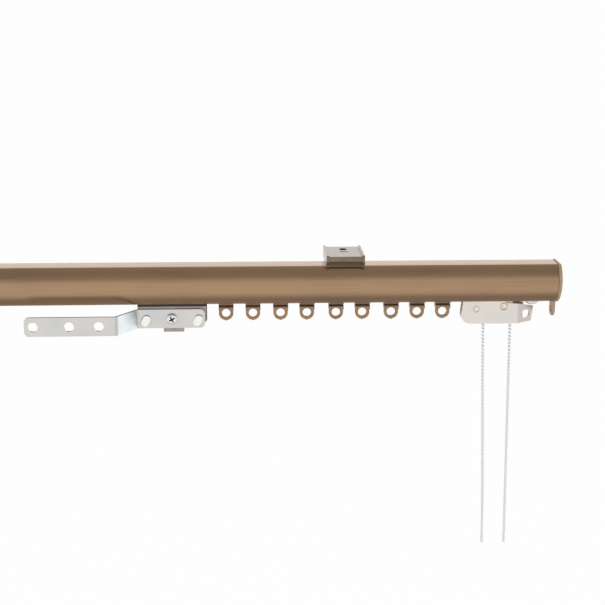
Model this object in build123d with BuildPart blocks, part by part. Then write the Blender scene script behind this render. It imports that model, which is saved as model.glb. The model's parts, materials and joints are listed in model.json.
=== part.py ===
from build123d import *
import os
from math import cos, sin, tan, radians, degrees, sqrt

os.makedirs("parts", exist_ok=True)

# Corded curtain track for a pair of curtains, in millimetres.
# X runs along the rail, Y away from the room, Z up.
# The origin lies midway between the two ceiling screw holes, on the top face of the bracket plates.

# Rail: one aluminium extrusion with a flat top, a bowed front and a slot underneath
RAIL_LENGTH = 798.0
RAIL_HEIGHT = 26.6
RAIL_TOP_DEPTH = 13.3
RAIL_BOW = 6.4
RAIL_WALL = 1.1
RAIL_FLOOR = 1.3
RAIL_EDGE_ROUND = 0.45
SLOT_WIDTH = 6.0
SLOT_TO_SCREW_LINE = 12.0
BRACKET_RISE = 7.0
GROOVE_DEPTH = 1.2
GROOVE_HEIGHT = 3.0
GROOVE_DROP = 4.2
GROOVE_BACKING = 1.1

# Gaps
SLIDE_GAP = 0.3
RUNNING_GAP = 0.05
ASSEMBLY_GAP = 0.1
CORD_GAP = 0.35

# End caps with their hanging eye
CAP_THICKNESS = 2.5
CAP_JOINT = 0.3
CAP_LAP = 0.3
CAP_SPIGOT_LENGTH = 3.5
CAP_SPIGOT_WALL = 1.4
CAP_EDGE_ROUND = 0.8
EYE_LUG_THICKNESS = 1.6
EYE_LUG_SETBACK = 0.7
EYE_LUG_RADIUS = 4.85
EYE_LUG_DROP = 7.5
EYE_LUG_HOLE = 5.2

# Ceiling brackets
BRACKET_SPACING = 502.0
BRACKET_PLATE_WIDTH = 22.4
BRACKET_PLATE_THICKNESS = 1.6
BRACKET_FLANGE = 2.0
BRACKET_FLANGE_RISE = 1.0
BRACKET_BACK_REACH = 7.6
BRACKET_FRONT_GAP = 1.0
BRACKET_WALL = 1.2
BRACKET_WALL_LAP = 0.3
BROW_HEIGHT = 3.5
BROW_STEP = 0.7
BROW_SLOPE = 0.5
WALL_SINK = 0.3
WALL_RIM = 0.15
WALL_RIM_HEIGHT = 0.6
BRACKET_LIP_REACH = 1.3
CEILING_HOLE = 5.2
DIMPLE_RADIUS = 3.4
DIMPLE_DEPTH = 0.3
DIMPLE_SETBACK = 5.0
JAW_THICKNESS = 2.0
JAW_WIDTH = 18.0
JAW_TOE = 0.9
JAW_FOOT = 11.0
JAW_SCREW_OFFSET = 6.2
JAW_SCREW_DIAMETER = 3.0
JAW_SCREW_HEAD = 5.6
JAW_SCREW_BITE = 1.1

# Cord and the three pulley wheels
CORD_DIAMETER = 1.8
WHEEL_CORD_RADIUS = 5.6
WHEEL_FLANGE = 1.3
WHEEL_WIDTH = 5.0
WHEEL_RIM = 0.7
WHEEL_BORE = 3.3
AXLE_HEAD_RADIUS = 2.1
AXLE_HEAD_HEIGHT = 0.8
AXLE_SEAT_DEPTH = 0.7
NEAR_SEAT_RADIUS = 2.3
FAR_SEAT_RADIUS = 2.8
AXLE_DIAMETER = WHEEL_BORE - 2 * RUNNING_GAP
WHEEL_RADIUS = WHEEL_CORD_RADIUS + WHEEL_FLANGE
LOWER_RUN_RISE = 6.9

# Right pulley housing under the rail, placed from the right end of the rail. Each wheel lies below the
# cord run that it takes by the drop of the sloping stretch between them
FAR_WHEEL_FROM_END = 35.35
WHEEL_SPACING = 19.45
NEAR_SLOPE_DROP = 9.24
FAR_SLOPE_DROP = 18.54
HOUSING_LEFT_MARGIN = 10.3
HOUSING_BEND_MARGIN = 10.15
HOUSING_HEIGHT = 17.0
HOUSING_SHEET = 1.2
HOUSING_CORNER = 6.4
HOUSING_SIDE_CUT = 1.1
HOUSING_SIDE_GAP = 0.3
TAB_RUN = 12.2
TAB_SET_BACK = 7.2
TAB_SIDE_CUT = 0.9
TAB_TOP_STEP = 1.9
TAB_TOP_START = 1.0
TAB_TOP_FALL = 0.7
TAB_TOP_CUT = 3.7
TAB_BEND_RADIUS = 2.0
TAB_HOLE = 5.8
TAB_HOLE_SPAN = 1.8
TAB_HOLE_DROP = 11.0
BACK_CHEEK_MARGIN = 15.35
FOOT_START_MARGIN = 12.15
FOOT_LENGTH = 13.2
FOOT_SCREW_OFFSET = 8.2
CLAMP_SCREW_DIAMETER = 4.0
CLAMP_SCREW_HEAD = 8.8
CLAMP_SCREW_HEAD_HEIGHT = 2.2
CLAMP_SCREW_LENGTH = 12.0

# Guide blocks that sit inside the rail
BLOCK_HALF_WIDTH = 4.1
BLOCK_TOP_DROP = 4.0
GUIDE_LAP = 0.5
GUIDE_THROAT_MARGIN = 12.35
GUIDE_RIGHT_MARGIN = 29.35
NOSE_RADIUS = 3.5
CORD_SLOPE = 45.0

# Left return pulley inside the rail, placed from the left end of the rail
RETURN_WHEEL_FROM_END = 24.0
RETURN_SOLID_END_MARGIN = 18.0
RETURN_SOLID_START_MARGIN = 8.4
RETURN_OPEN_MARGIN = 10.0
RETURN_SCREW_MARGIN = 13.4
RETURN_PLATE_LENGTH = 14.0
RETURN_PLATE_WIDTH = 11.0

# Gliders
GLIDER_COUNT = 9
GLIDER_FIRST_GAP = 13.2
GLIDER_LAST_GAP = 13.26
GLIDER_DRIFT = [0.0, -0.3, 0.0, -0.6, 0.8, 0.3, 1.6, 1.0, 0.1]
GLIDER_WIDTH = 10.3
GLIDER_HEAD_LENGTH = 9.6
GLIDER_HEAD_WIDTH = 9.6
GLIDER_HEAD_HEIGHT = 2.2
GLIDER_HEAD_CORNER = 2.0
GLIDER_NECK_LENGTH = 5.0
GLIDER_YOKE_DEPTH = 7.4
GLIDER_YOKE_HEIGHT = 5.5
GLIDER_YOKE_CORNER = 0.5
GLIDER_FLANGE = 1.5
GLIDER_WAIST_HEIGHT = 1.2
GLIDER_WAIST_WIDTH = 9.8
GLIDER_WAIST_DEPTH = 3.4
GLIDER_ARCH_MARGIN = 1.15
EYE_OUTER_RADIUS = 5.0
EYE_HOLE_RADIUS = 3.0
EYE_THICKNESS = 2.2
EYE_BEVEL = 0.5
NIB_WIDTH = 1.4
NIB_HEIGHT = 0.35
EYE_DROP = 8.4

# Master carriers with their overlap arms
MASTER_X = 131.8
MASTER_LEFT_END = 23.5
MASTER_RIGHT_END = 24.2
WEB_THICKNESS = 5.4
WEB_HEIGHT = 15.4
WEB_CORNER = 2.6
TAB_BELOW_WIDTH = 14.0
TAB_BELOW_HEIGHT = 5.5
TAB_BELOW_OFFSET = 1.2
SHOE_HEIGHT = 2.6
SHOE_WIDTH = 9.6
SHOE_CORNER = 3.0
FOOT_PLATE_HEIGHT = 1.4
FOOT_PLATE_WIDTH = 8.8
POST_LENGTH = 16.0
POST_HALF_WIDTH = 3.6
POST_CAP = 2.2
GRIP_SCREW_DIAMETER = 3.0
ARM_THICKNESS = 1.3
ARM_HEIGHT = 13.4
ARM_TOP_GAP = 4.4
ARM_FAR_END = -98.4
ARM_JOGGLE_START = -37.0
ARM_JOGGLE_END = -23.8
ARM_NEAR_END = 22.7
ARM_OFFSET = 16.6
ARM_BEND_RADIUS = 3.0
ARM_CORNER = 3.2
ARM_HOLES = [-92.6, -68.4, -48.5]
ARM_HOLE_DIAMETER = 6.6
TONGUE_OFFSET = 17.9
TONGUE_WIDTH = 6.4
TONGUE_SPAN = 2.6
TONGUE_TILT = 62.0
TONGUE_RISE = 0.9
TONGUE_TAPER = 30.0
TONGUE_DROP = 1.4
ARM_SCREW_DIAMETER = 4.0
ARM_SCREW_HEAD = 8.0
ARM_SCREW_HEAD_HEIGHT = 2.4
HEAD_CROWN = 0.4
RECESS_WIDTH = 1.1
RECESS_LENGTH = 4.4
RECESS_DEPTH = 1.3

# Free cord falls below the wheels: where each ends, and how far it leans to the right
FALL_START = 1.0
FALL_END_DROP = 190.0
NEAR_FALL_LEAN = 8.7
FAR_FALL_LEAN = 5.7

# Places that follow from the sizes above
SLOT_Y = -SLOT_TO_SCREW_LINE
FRONT_Y = SLOT_Y - RAIL_TOP_DEPTH / 2
BACK_Y = FRONT_Y + RAIL_TOP_DEPTH
TOP_Z = -BRACKET_RISE
BOTTOM_Z = TOP_Z - RAIL_HEIGHT
MIDDLE_Z = (TOP_Z + BOTTOM_Z) / 2
LIP_Z = BOTTOM_Z + RAIL_FLOOR
RAIL_END_X = RAIL_LENGTH / 2
FAR_WHEEL_X = RAIL_END_X - FAR_WHEEL_FROM_END
NEAR_WHEEL_X = FAR_WHEEL_X - WHEEL_SPACING
HOUSING_LEFT_X = NEAR_WHEEL_X - HOUSING_LEFT_MARGIN
HOUSING_BEND_X = FAR_WHEEL_X + HOUSING_BEND_MARGIN
BACK_CHEEK_END_X = FAR_WHEEL_X + BACK_CHEEK_MARGIN
FOOT_START_X = FAR_WHEEL_X + FOOT_START_MARGIN
FOOT_END_X = FOOT_START_X + FOOT_LENGTH
HOUSING_SCREW_X = FOOT_START_X + FOOT_SCREW_OFFSET
GUIDE_LEFT_X = HOUSING_LEFT_X - GUIDE_LAP
GUIDE_THROAT_END_X = FAR_WHEEL_X + GUIDE_THROAT_MARGIN
GUIDE_RIGHT_X = FAR_WHEEL_X + GUIDE_RIGHT_MARGIN
RETURN_WHEEL_X = RETURN_WHEEL_FROM_END - RAIL_END_X
RETURN_SOLID_END_X = RETURN_WHEEL_X - RETURN_SOLID_END_MARGIN
RETURN_SOLID_START_X = RETURN_WHEEL_X - RETURN_SOLID_START_MARGIN
RETURN_OPEN_END_X = RETURN_WHEEL_X + RETURN_OPEN_MARGIN
RETURN_SCREW_X = RETURN_WHEEL_X - RETURN_SCREW_MARGIN
GLIDER_FIRST_X = MASTER_X + MASTER_RIGHT_END + GLIDER_FIRST_GAP
GLIDER_PITCH = (HOUSING_LEFT_X - GLIDER_LAST_GAP - GLIDER_FIRST_X) / (GLIDER_COUNT - 1)
BOW_RADIUS = (RAIL_HEIGHT**2 / 4 + RAIL_BOW**2) / (2 * RAIL_BOW)
BOW_CENTRE_Y = FRONT_Y - RAIL_BOW + BOW_RADIUS
GROOVE_Z = TOP_Z - GROOVE_DROP - GROOVE_HEIGHT / 2
THICK_WALL = GROOVE_DEPTH + GROOVE_BACKING
LOWER_RUN_Z = BOTTOM_Z + LOWER_RUN_RISE
UPPER_RUN_Z = LOWER_RUN_Z + 2 * WHEEL_CORD_RADIUS
SLOPE_TOUCH_RISE = WHEEL_CORD_RADIUS * cos(radians(CORD_SLOPE))
NEAR_WHEEL_Z = LOWER_RUN_Z - NEAR_SLOPE_DROP - SLOPE_TOUCH_RISE
FAR_WHEEL_Z = UPPER_RUN_Z - FAR_SLOPE_DROP - SLOPE_TOUCH_RISE
RETURN_WHEEL_Z = (UPPER_RUN_Z + LOWER_RUN_Z) / 2
PLATE_INNER = WHEEL_WIDTH / 2 + HOUSING_SIDE_GAP
PLATE_OUTER = PLATE_INNER + HOUSING_SHEET
BLOCK_TOP_Z = TOP_Z - BLOCK_TOP_DROP
CORD_RADIUS = CORD_DIAMETER / 2


def bow_y(z, inset):
    # y of the bowed front at height z, inset from the outer face
    return BOW_CENTRE_Y - sqrt((BOW_RADIUS - inset) ** 2 - (z - MIDDLE_Z) ** 2)


def rail_outline():
    # outer outline of the rail section, on the YZ plane
    with BuildLine() as outline:
        Polyline((FRONT_Y, TOP_Z), (BACK_Y, TOP_Z), (BACK_Y, BOTTOM_Z), (FRONT_Y, BOTTOM_Z))
        ThreePointArc((FRONT_Y, BOTTOM_Z), (FRONT_Y - RAIL_BOW, MIDDLE_Z), (FRONT_Y, TOP_Z))
    return outline.line


def cavity_outline(inset):
    # hollow of the rail, drawn in by inset, with the thicker wall behind the groove
    top, bottom = TOP_Z - RAIL_WALL - inset, LIP_Z + inset
    step_z = GROOVE_Z - GROOVE_HEIGHT / 2 - RAIL_WALL - inset
    wall = RAIL_WALL + inset
    with BuildLine() as outline:
        Polyline(
            (bow_y(top, wall), top),
            (BACK_Y - THICK_WALL - inset, top),
            (BACK_Y - THICK_WALL - inset, step_z),
            (BACK_Y - wall, step_z),
            (BACK_Y - wall, bottom),
            (bow_y(bottom, wall), bottom),
        )
        ThreePointArc(
            (bow_y(bottom, wall), bottom),
            (bow_y(MIDDLE_Z, wall), MIDDLE_Z),
            (bow_y(top, wall), top),
        )
    return outline.line


def save(part, name):
    part.label = name
    export_step(part, "parts/" + name + ".step")


with BuildPart() as rail:
    with BuildSketch(Plane.YZ.offset(-RAIL_END_X)) as rail_section:
        make_face(rail_outline())
        make_face(cavity_outline(0.0), mode=Mode.SUBTRACT)
        with Locations((SLOT_Y, BOTTOM_Z + RAIL_FLOOR / 2)):
            Rectangle(SLOT_WIDTH, RAIL_FLOOR, mode=Mode.SUBTRACT)
        with Locations((BACK_Y - GROOVE_DEPTH / 2, GROOVE_Z)):
            Rectangle(GROOVE_DEPTH, GROOVE_HEIGHT, mode=Mode.SUBTRACT)
    extrude(amount=RAIL_LENGTH)
    fillet(rail.edges().filter_by(Axis.X).group_by(Axis.Z)[-1], radius=RAIL_EDGE_ROUND)
    fillet(rail.edges().filter_by(Axis.X).group_by(Axis.Z)[0], radius=RAIL_EDGE_ROUND)
save(rail.part, "rail")


def end_cap(side):
    # plate a little larger than the rail, a short hollow spigot in the rail and a lug with a hook eye below
    lug_x = side * (RAIL_END_X - EYE_LUG_SETBACK)
    out = Plane((lug_x, 0, 0), x_dir=(0, side, 0), z_dir=(side, 0, 0))
    with BuildPart() as cap:
        with BuildSketch(Plane.YZ.offset(side * (RAIL_END_X + CAP_JOINT))):
            make_face(rail_outline())
            offset(amount=CAP_LAP, kind=Kind.INTERSECTION)
        extrude(amount=side * CAP_THICKNESS)
        rim = cap.faces().sort_by(Axis.X)[-1 if side > 0 else 0]
        chamfer(rim.edges(), length=CAP_EDGE_ROUND)
        with BuildSketch(Plane.YZ.offset(side * (RAIL_END_X - CAP_SPIGOT_LENGTH))):
            make_face(cavity_outline(ASSEMBLY_GAP))
            make_face(cavity_outline(ASSEMBLY_GAP + CAP_SPIGOT_WALL), mode=Mode.SUBTRACT)
        extrude(amount=side * (CAP_SPIGOT_LENGTH + CAP_JOINT + CAP_EDGE_ROUND))
        eye_z = BOTTOM_Z - EYE_LUG_DROP
        lug_height = EYE_LUG_DROP - ASSEMBLY_GAP
        neck_height = ASSEMBLY_GAP + RAIL_FLOOR + ASSEMBLY_GAP + CAP_SPIGOT_WALL
        with BuildSketch(out):
            with Locations((side * SLOT_Y, eye_z)):
                Circle(EYE_LUG_RADIUS)
            with Locations((side * SLOT_Y, eye_z + lug_height / 2)):
                Rectangle(2 * EYE_LUG_RADIUS, lug_height)
            with Locations((side * SLOT_Y, eye_z + lug_height + neck_height / 2)):
                Rectangle(SLOT_WIDTH - 2 * SLIDE_GAP, neck_height)
            with Locations((side * SLOT_Y, eye_z)):
                Circle(EYE_LUG_HOLE / 2, mode=Mode.SUBTRACT)
        extrude(amount=EYE_LUG_THICKNESS)
    return cap.part


save(end_cap(1), "end_cap_right")
save(end_cap(-1), "end_cap_left")


def bracket_body(x):
    # plate under the ceiling, two upstanding side flanges and a stepped front wall over the rail
    front = FRONT_Y - BRACKET_FRONT_GAP
    back = BRACKET_BACK_REACH
    half = BRACKET_PLATE_WIDTH / 2
    with BuildPart() as body:
        with BuildSketch(Plane((x, (front + back) / 2, -BRACKET_PLATE_THICKNESS))):
            Rectangle(BRACKET_PLATE_WIDTH, back - front)
        extrude(amount=BRACKET_PLATE_THICKNESS)
        flange_front = front - BRACKET_WALL - BRACKET_LIP_REACH
        with BuildSketch(Plane((x, 0, TOP_Z))):
            with Locations(
                (-half - BRACKET_FLANGE / 2, (flange_front + back) / 2),
                (half + BRACKET_FLANGE / 2, (flange_front + back) / 2),
            ):
                Rectangle(BRACKET_FLANGE, back - flange_front)
        extrude(amount=BRACKET_RISE + BRACKET_FLANGE_RISE)
        wall_face, wall_foot = front - BRACKET_WALL, TOP_Z - BRACKET_WALL_LAP
        with BuildSketch(Plane.YZ.offset(x - half)):
            with BuildLine():
                Polyline(
                    (front, 0),
                    (wall_face - BROW_STEP, 0),
                    (wall_face - BROW_STEP, -BROW_HEIGHT),
                    (wall_face + WALL_SINK, -BROW_HEIGHT - BROW_SLOPE),
                    (wall_face + WALL_SINK, wall_foot + WALL_RIM_HEIGHT),
                    (wall_face - WALL_RIM, wall_foot + WALL_RIM_HEIGHT / 2),
                    (wall_face - WALL_RIM, wall_foot),
                    (front, wall_foot),
                    close=True,
                )
            make_face()
        extrude(amount=BRACKET_PLATE_WIDTH)
        with BuildSketch(Plane((x, 0, 0))):
            Circle(CEILING_HOLE / 2)
        extrude(amount=-BRACKET_PLATE_THICKNESS, mode=Mode.SUBTRACT)
        with BuildSketch(Plane((x + JAW_SCREW_OFFSET, 0, -BRACKET_PLATE_THICKNESS))):
            Circle(JAW_SCREW_DIAMETER / 2 + ASSEMBLY_GAP)
        extrude(amount=JAW_SCREW_BITE + ASSEMBLY_GAP, mode=Mode.SUBTRACT)
        with BuildSketch(Plane((x, -DIMPLE_SETBACK - DIMPLE_RADIUS, 0))):
            Circle(DIMPLE_RADIUS)
        extrude(amount=-DIMPLE_DEPTH, taper=45, mode=Mode.SUBTRACT)
        side_tops = body.edges().filter_by(Axis.Y).group_by(Axis.Z)[-1]
        fillet(side_tops, radius=BRACKET_FLANGE / 3)
    return body.part


def bracket_jaw(x):
    # L-shaped jaw under the plate: its toe holds the groove in the back of the rail
    plate_under = -BRACKET_PLATE_THICKNESS
    leg_front = BACK_Y + ASSEMBLY_GAP
    leg_back = leg_front + JAW_THICKNESS
    toe_half = GROOVE_HEIGHT / 2 - ASSEMBLY_GAP
    with BuildPart() as jaw:
        with BuildSketch(Plane.YZ.offset(x - JAW_WIDTH / 2)):
            with BuildLine():
                Polyline(
                    (leg_front, plate_under),
                    (leg_front + JAW_FOOT, plate_under),
                    (leg_front + JAW_FOOT, plate_under - JAW_THICKNESS),
                    (leg_back, plate_under - JAW_THICKNESS),
                    (leg_back, GROOVE_Z - toe_half),
                    (leg_front - JAW_TOE, GROOVE_Z - toe_half),
                    (leg_front - JAW_TOE, GROOVE_Z + toe_half),
                    (leg_front, GROOVE_Z + toe_half),
                    close=True,
                )
            make_face()
        extrude(amount=JAW_WIDTH)
        with BuildSketch(Plane((x, 0, plate_under))):
            Circle(CEILING_HOLE / 2)
            with Locations((JAW_SCREW_OFFSET, 0)):
                Circle(JAW_SCREW_DIAMETER / 2 + ASSEMBLY_GAP)
        extrude(amount=-JAW_THICKNESS, mode=Mode.SUBTRACT)
    return jaw.part


def machine_screw(at, direction, x_dir, diameter, length, head, head_height, recess):
    # shaft along direction, crowned head seated at the plane, cross recess in the head
    seat = Plane(at, x_dir=x_dir, z_dir=direction)
    with BuildPart() as screw:
        with BuildSketch(seat):
            Circle(diameter / 2)
        extrude(amount=length)
        with BuildSketch(seat):
            Circle(head / 2)
        extrude(amount=-head_height)
        crown = screw.faces().sort_by(Axis(at, direction))[0]
        chamfer(crown.edges(), length=head_height * HEAD_CROWN)
        if recess:
            with BuildSketch(seat.offset(-head_height)):
                Rectangle(RECESS_LENGTH, RECESS_WIDTH)
                Rectangle(RECESS_WIDTH, RECESS_LENGTH)
            extrude(amount=RECESS_DEPTH, taper=12, mode=Mode.SUBTRACT)
    return screw.part


for name, x in (("right", BRACKET_SPACING / 2), ("left", -BRACKET_SPACING / 2)):
    save(bracket_body(x), "bracket_" + name + "_body")
    save(bracket_jaw(x), "bracket_" + name + "_jaw")
    save(
        machine_screw(
            (x + JAW_SCREW_OFFSET, 0, -BRACKET_PLATE_THICKNESS - JAW_THICKNESS),
            (0, 0, 1),
            (1, 0, 0),
            JAW_SCREW_DIAMETER,
            JAW_THICKNESS + JAW_SCREW_BITE,
            JAW_SCREW_HEAD,
            JAW_SCREW_DIAMETER * 0.6,
            False,
        ),
        "bracket_" + name + "_screw",
    )


def pulley_wheel(x, z):
    # grooved wheel, its axis along Y
    half = WHEEL_WIDTH / 2
    groove_floor = WHEEL_CORD_RADIUS - CORD_RADIUS - SLIDE_GAP
    groove_half = CORD_RADIUS + CORD_GAP
    floor_half = CORD_RADIUS
    with BuildPart() as wheel:
        with BuildSketch(Plane((x, SLOT_Y, z), x_dir=(0, 1, 0), z_dir=(1, 0, 0))):
            with BuildLine():
                Polyline(
                    (-half, WHEEL_BORE / 2),
                    (half, WHEEL_BORE / 2),
                    (half, WHEEL_RADIUS),
                    (half - WHEEL_RIM, WHEEL_RADIUS),
                    (groove_half, WHEEL_CORD_RADIUS),
                    (floor_half, groove_floor),
                    (-floor_half, groove_floor),
                    (-groove_half, WHEEL_CORD_RADIUS),
                    (-half + WHEEL_RIM, WHEEL_RADIUS),
                    (-half, WHEEL_RADIUS),
                    close=True,
                )
            make_face()
        revolve(axis=Axis((x, SLOT_Y, z), (0, 1, 0)))
    return wheel.part


def axle_pin(x, z, half_length):
    # plain pin along Y
    with BuildPart() as pin:
        with BuildSketch(Plane((x, SLOT_Y, z), x_dir=(1, 0, 0), z_dir=(0, 1, 0))):
            Circle(AXLE_DIAMETER / 2)
        extrude(amount=half_length, both=True)
    return pin.part


def riveted_axle(x, z):
    # pin through both cheeks: its front head is sunk in a round seat, its back head stands proud
    with BuildPart() as pin:
        add(axle_pin(x, z, PLATE_OUTER - AXLE_SEAT_DEPTH))
        with BuildSketch(Plane((x, SLOT_Y, z), x_dir=(1, 0, 0), z_dir=(0, 1, 0))):
            Circle(AXLE_DIAMETER / 2)
        extrude(amount=PLATE_OUTER)
        with BuildSketch(Plane((x, SLOT_Y - PLATE_OUTER + AXLE_SEAT_DEPTH, z), x_dir=(1, 0, 0), z_dir=(0, -1, 0))):
            Circle(AXLE_HEAD_RADIUS)
        extrude(amount=AXLE_SEAT_DEPTH - ASSEMBLY_GAP)
        with BuildSketch(Plane((x, SLOT_Y + PLATE_OUTER, z), x_dir=(1, 0, 0), z_dir=(0, 1, 0))):
            Circle(AXLE_HEAD_RADIUS)
        extrude(amount=AXLE_HEAD_HEIGHT, taper=18)
    return pin.part


for name, x, z in (("near", NEAR_WHEEL_X, NEAR_WHEEL_Z), ("far", FAR_WHEEL_X, FAR_WHEEL_Z)):
    save(pulley_wheel(x, z), "pulley_wheel_" + name)
    save(riveted_axle(x, z), "pulley_axle_" + name)

HOUSING_BOTTOM_Z = BOTTOM_Z - HOUSING_HEIGHT
HOUSING_RIGHT_X = HOUSING_BEND_X + TAB_RUN
left_cut = [
    (HOUSING_LEFT_X - HOUSING_SHEET, BOTTOM_Z),
    (HOUSING_LEFT_X + HOUSING_SIDE_CUT, BOTTOM_Z),
    (HOUSING_LEFT_X, HOUSING_BOTTOM_Z + HOUSING_CORNER),
    (HOUSING_LEFT_X - HOUSING_SHEET, HOUSING_BOTTOM_Z + HOUSING_CORNER),
]


def front_plane(y):
    # XZ plane that faces the room at depth y
    return Plane((0, y, 0), x_dir=(1, 0, 0), z_dir=(0, -1, 0))


with BuildPart() as housing_front:
    # flat cheek in front of the wheels, its right end a tab bent back past the cords
    cheek_y = SLOT_Y - PLATE_INNER - HOUSING_SHEET / 2
    with BuildSketch(Plane.XY.offset(HOUSING_BOTTOM_Z)):
        with BuildLine():
            FilletPolyline(
                (HOUSING_LEFT_X, cheek_y),
                (HOUSING_BEND_X, cheek_y),
                (HOUSING_RIGHT_X, cheek_y + TAB_SET_BACK),
                radius=TAB_BEND_RADIUS,
            )
        trace(line_width=HOUSING_SHEET)
    extrude(amount=HOUSING_HEIGHT)
    left_corners = housing_front.edges().filter_by(Axis.Y).group_by(Axis.X)[0].sort_by(Axis.Z)
    fillet(left_corners[0], radius=HOUSING_CORNER)
    with BuildSketch(front_plane(SLOT_Y)):
        with BuildLine():
            Polyline(
                (FAR_WHEEL_X + TAB_TOP_START, BOTTOM_Z),
                (FAR_WHEEL_X + TAB_TOP_START + TAB_TOP_STEP / 2, BOTTOM_Z - TAB_TOP_STEP),
                (HOUSING_BEND_X, BOTTOM_Z - TAB_TOP_STEP - TAB_TOP_FALL),
                (HOUSING_RIGHT_X + HOUSING_SHEET, BOTTOM_Z - TAB_TOP_STEP - TAB_TOP_FALL - TAB_TOP_CUT),
                (HOUSING_RIGHT_X + HOUSING_SHEET, BOTTOM_Z),
                close=True,
            )
        make_face()
        with BuildLine():
            Polyline(
                (HOUSING_RIGHT_X + HOUSING_SHEET, BOTTOM_Z),
                (HOUSING_RIGHT_X + HOUSING_SHEET, HOUSING_BOTTOM_Z),
                (HOUSING_RIGHT_X - TAB_SIDE_CUT, HOUSING_BOTTOM_Z),
                close=True,
            )
        make_face()
        with BuildLine():
            Polyline(*left_cut, close=True)
        make_face()
        with Locations((NEAR_WHEEL_X, NEAR_WHEEL_Z), (FAR_WHEEL_X, FAR_WHEEL_Z)):
            Circle(AXLE_DIAMETER / 2 + RUNNING_GAP)
    extrude(amount=2 * PLATE_OUTER, both=True, mode=Mode.SUBTRACT)
    with BuildSketch(front_plane(SLOT_Y - PLATE_OUTER)):
        with Locations((NEAR_WHEEL_X, NEAR_WHEEL_Z)):
            Circle(NEAR_SEAT_RADIUS)
        with Locations((FAR_WHEEL_X, FAR_WHEEL_Z)):
            Circle(FAR_SEAT_RADIUS)
    extrude(amount=-AXLE_SEAT_DEPTH, mode=Mode.SUBTRACT)
    tab_middle = (
        (HOUSING_BEND_X + HOUSING_RIGHT_X) / 2,
        cheek_y + TAB_SET_BACK / 2,
        BOTTOM_Z - TAB_HOLE_DROP,
    )
    with BuildSketch(Plane(tab_middle, x_dir=(TAB_RUN, TAB_SET_BACK, 0), z_dir=(TAB_SET_BACK, -TAB_RUN, 0))):
        SlotCenterToCenter(TAB_HOLE_SPAN, TAB_HOLE)
    extrude(amount=HOUSING_SHEET, both=True, mode=Mode.SUBTRACT)
save(housing_front.part, "pulley_cheek_front")

with BuildPart() as housing_back:
    # flat cheek behind the wheels, with a foot folded forward under the rail for the clamp screw
    with BuildSketch(front_plane(SLOT_Y + PLATE_OUTER)):
        with BuildLine():
            FilletPolyline(
                (BACK_CHEEK_END_X, BOTTOM_Z),
                (HOUSING_LEFT_X, BOTTOM_Z),
                (HOUSING_LEFT_X, HOUSING_BOTTOM_Z),
                (BACK_CHEEK_END_X, HOUSING_BOTTOM_Z),
                radius=[HOUSING_SIDE_CUT / 2, HOUSING_CORNER],
            )
            Line((BACK_CHEEK_END_X, HOUSING_BOTTOM_Z), (BACK_CHEEK_END_X, BOTTOM_Z))
        make_face()
        with BuildLine():
            Polyline(*left_cut, close=True)
        make_face(mode=Mode.SUBTRACT)
        with Locations((NEAR_WHEEL_X, NEAR_WHEEL_Z), (FAR_WHEEL_X, FAR_WHEEL_Z)):
            Circle(AXLE_DIAMETER / 2 + RUNNING_GAP, mode=Mode.SUBTRACT)
    extrude(amount=HOUSING_SHEET)
    with BuildSketch(Plane.XY.offset(BOTTOM_Z)):
        with Locations(((FOOT_START_X + FOOT_END_X) / 2, SLOT_Y)):
            Rectangle(FOOT_END_X - FOOT_START_X, 2 * PLATE_OUTER)
        with Locations((HOUSING_SCREW_X, SLOT_Y)):
            Circle(CLAMP_SCREW_DIAMETER / 2 + ASSEMBLY_GAP, mode=Mode.SUBTRACT)
    extrude(amount=-HOUSING_SHEET)
save(housing_back.part, "pulley_cheek_back")

# Where each run leaves its guide nose: the sloping stretch is tangent to the nose and to the wheel
slope = radians(CORD_SLOPE)
NOSE_CORD_RADIUS = NOSE_RADIUS + CORD_RADIUS + ASSEMBLY_GAP
nose_tangent = NOSE_CORD_RADIUS * tan(slope / 2)


def slope_top_x(wheel_x, wheel_z, run_z):
    # x where the sloping line that grazes the wheel meets the height of the run
    touch_x = wheel_x + WHEEL_CORD_RADIUS * sin(slope)
    touch_z = wheel_z + WHEEL_CORD_RADIUS * cos(slope)
    return touch_x - (run_z - touch_z) / tan(slope)


NEAR_CORNER_X = slope_top_x(NEAR_WHEEL_X, NEAR_WHEEL_Z, LOWER_RUN_Z)
FAR_CORNER_X = slope_top_x(FAR_WHEEL_X, FAR_WHEEL_Z, UPPER_RUN_Z)


def block_section(left_x, right_x, open_left_x, open_right_x):
    # plan of a block on the rail's lips with an open throat between two cheeks
    with BuildSketch(Plane.XY.offset(LIP_Z)) as section:
        with Locations(((left_x + right_x) / 2, SLOT_Y)):
            Rectangle(right_x - left_x, 2 * BLOCK_HALF_WIDTH)
        with Locations(((open_left_x + open_right_x) / 2, SLOT_Y)):
            Rectangle(open_right_x - open_left_x, 2 * PLATE_INNER, mode=Mode.SUBTRACT)
    return section.sketch


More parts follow.
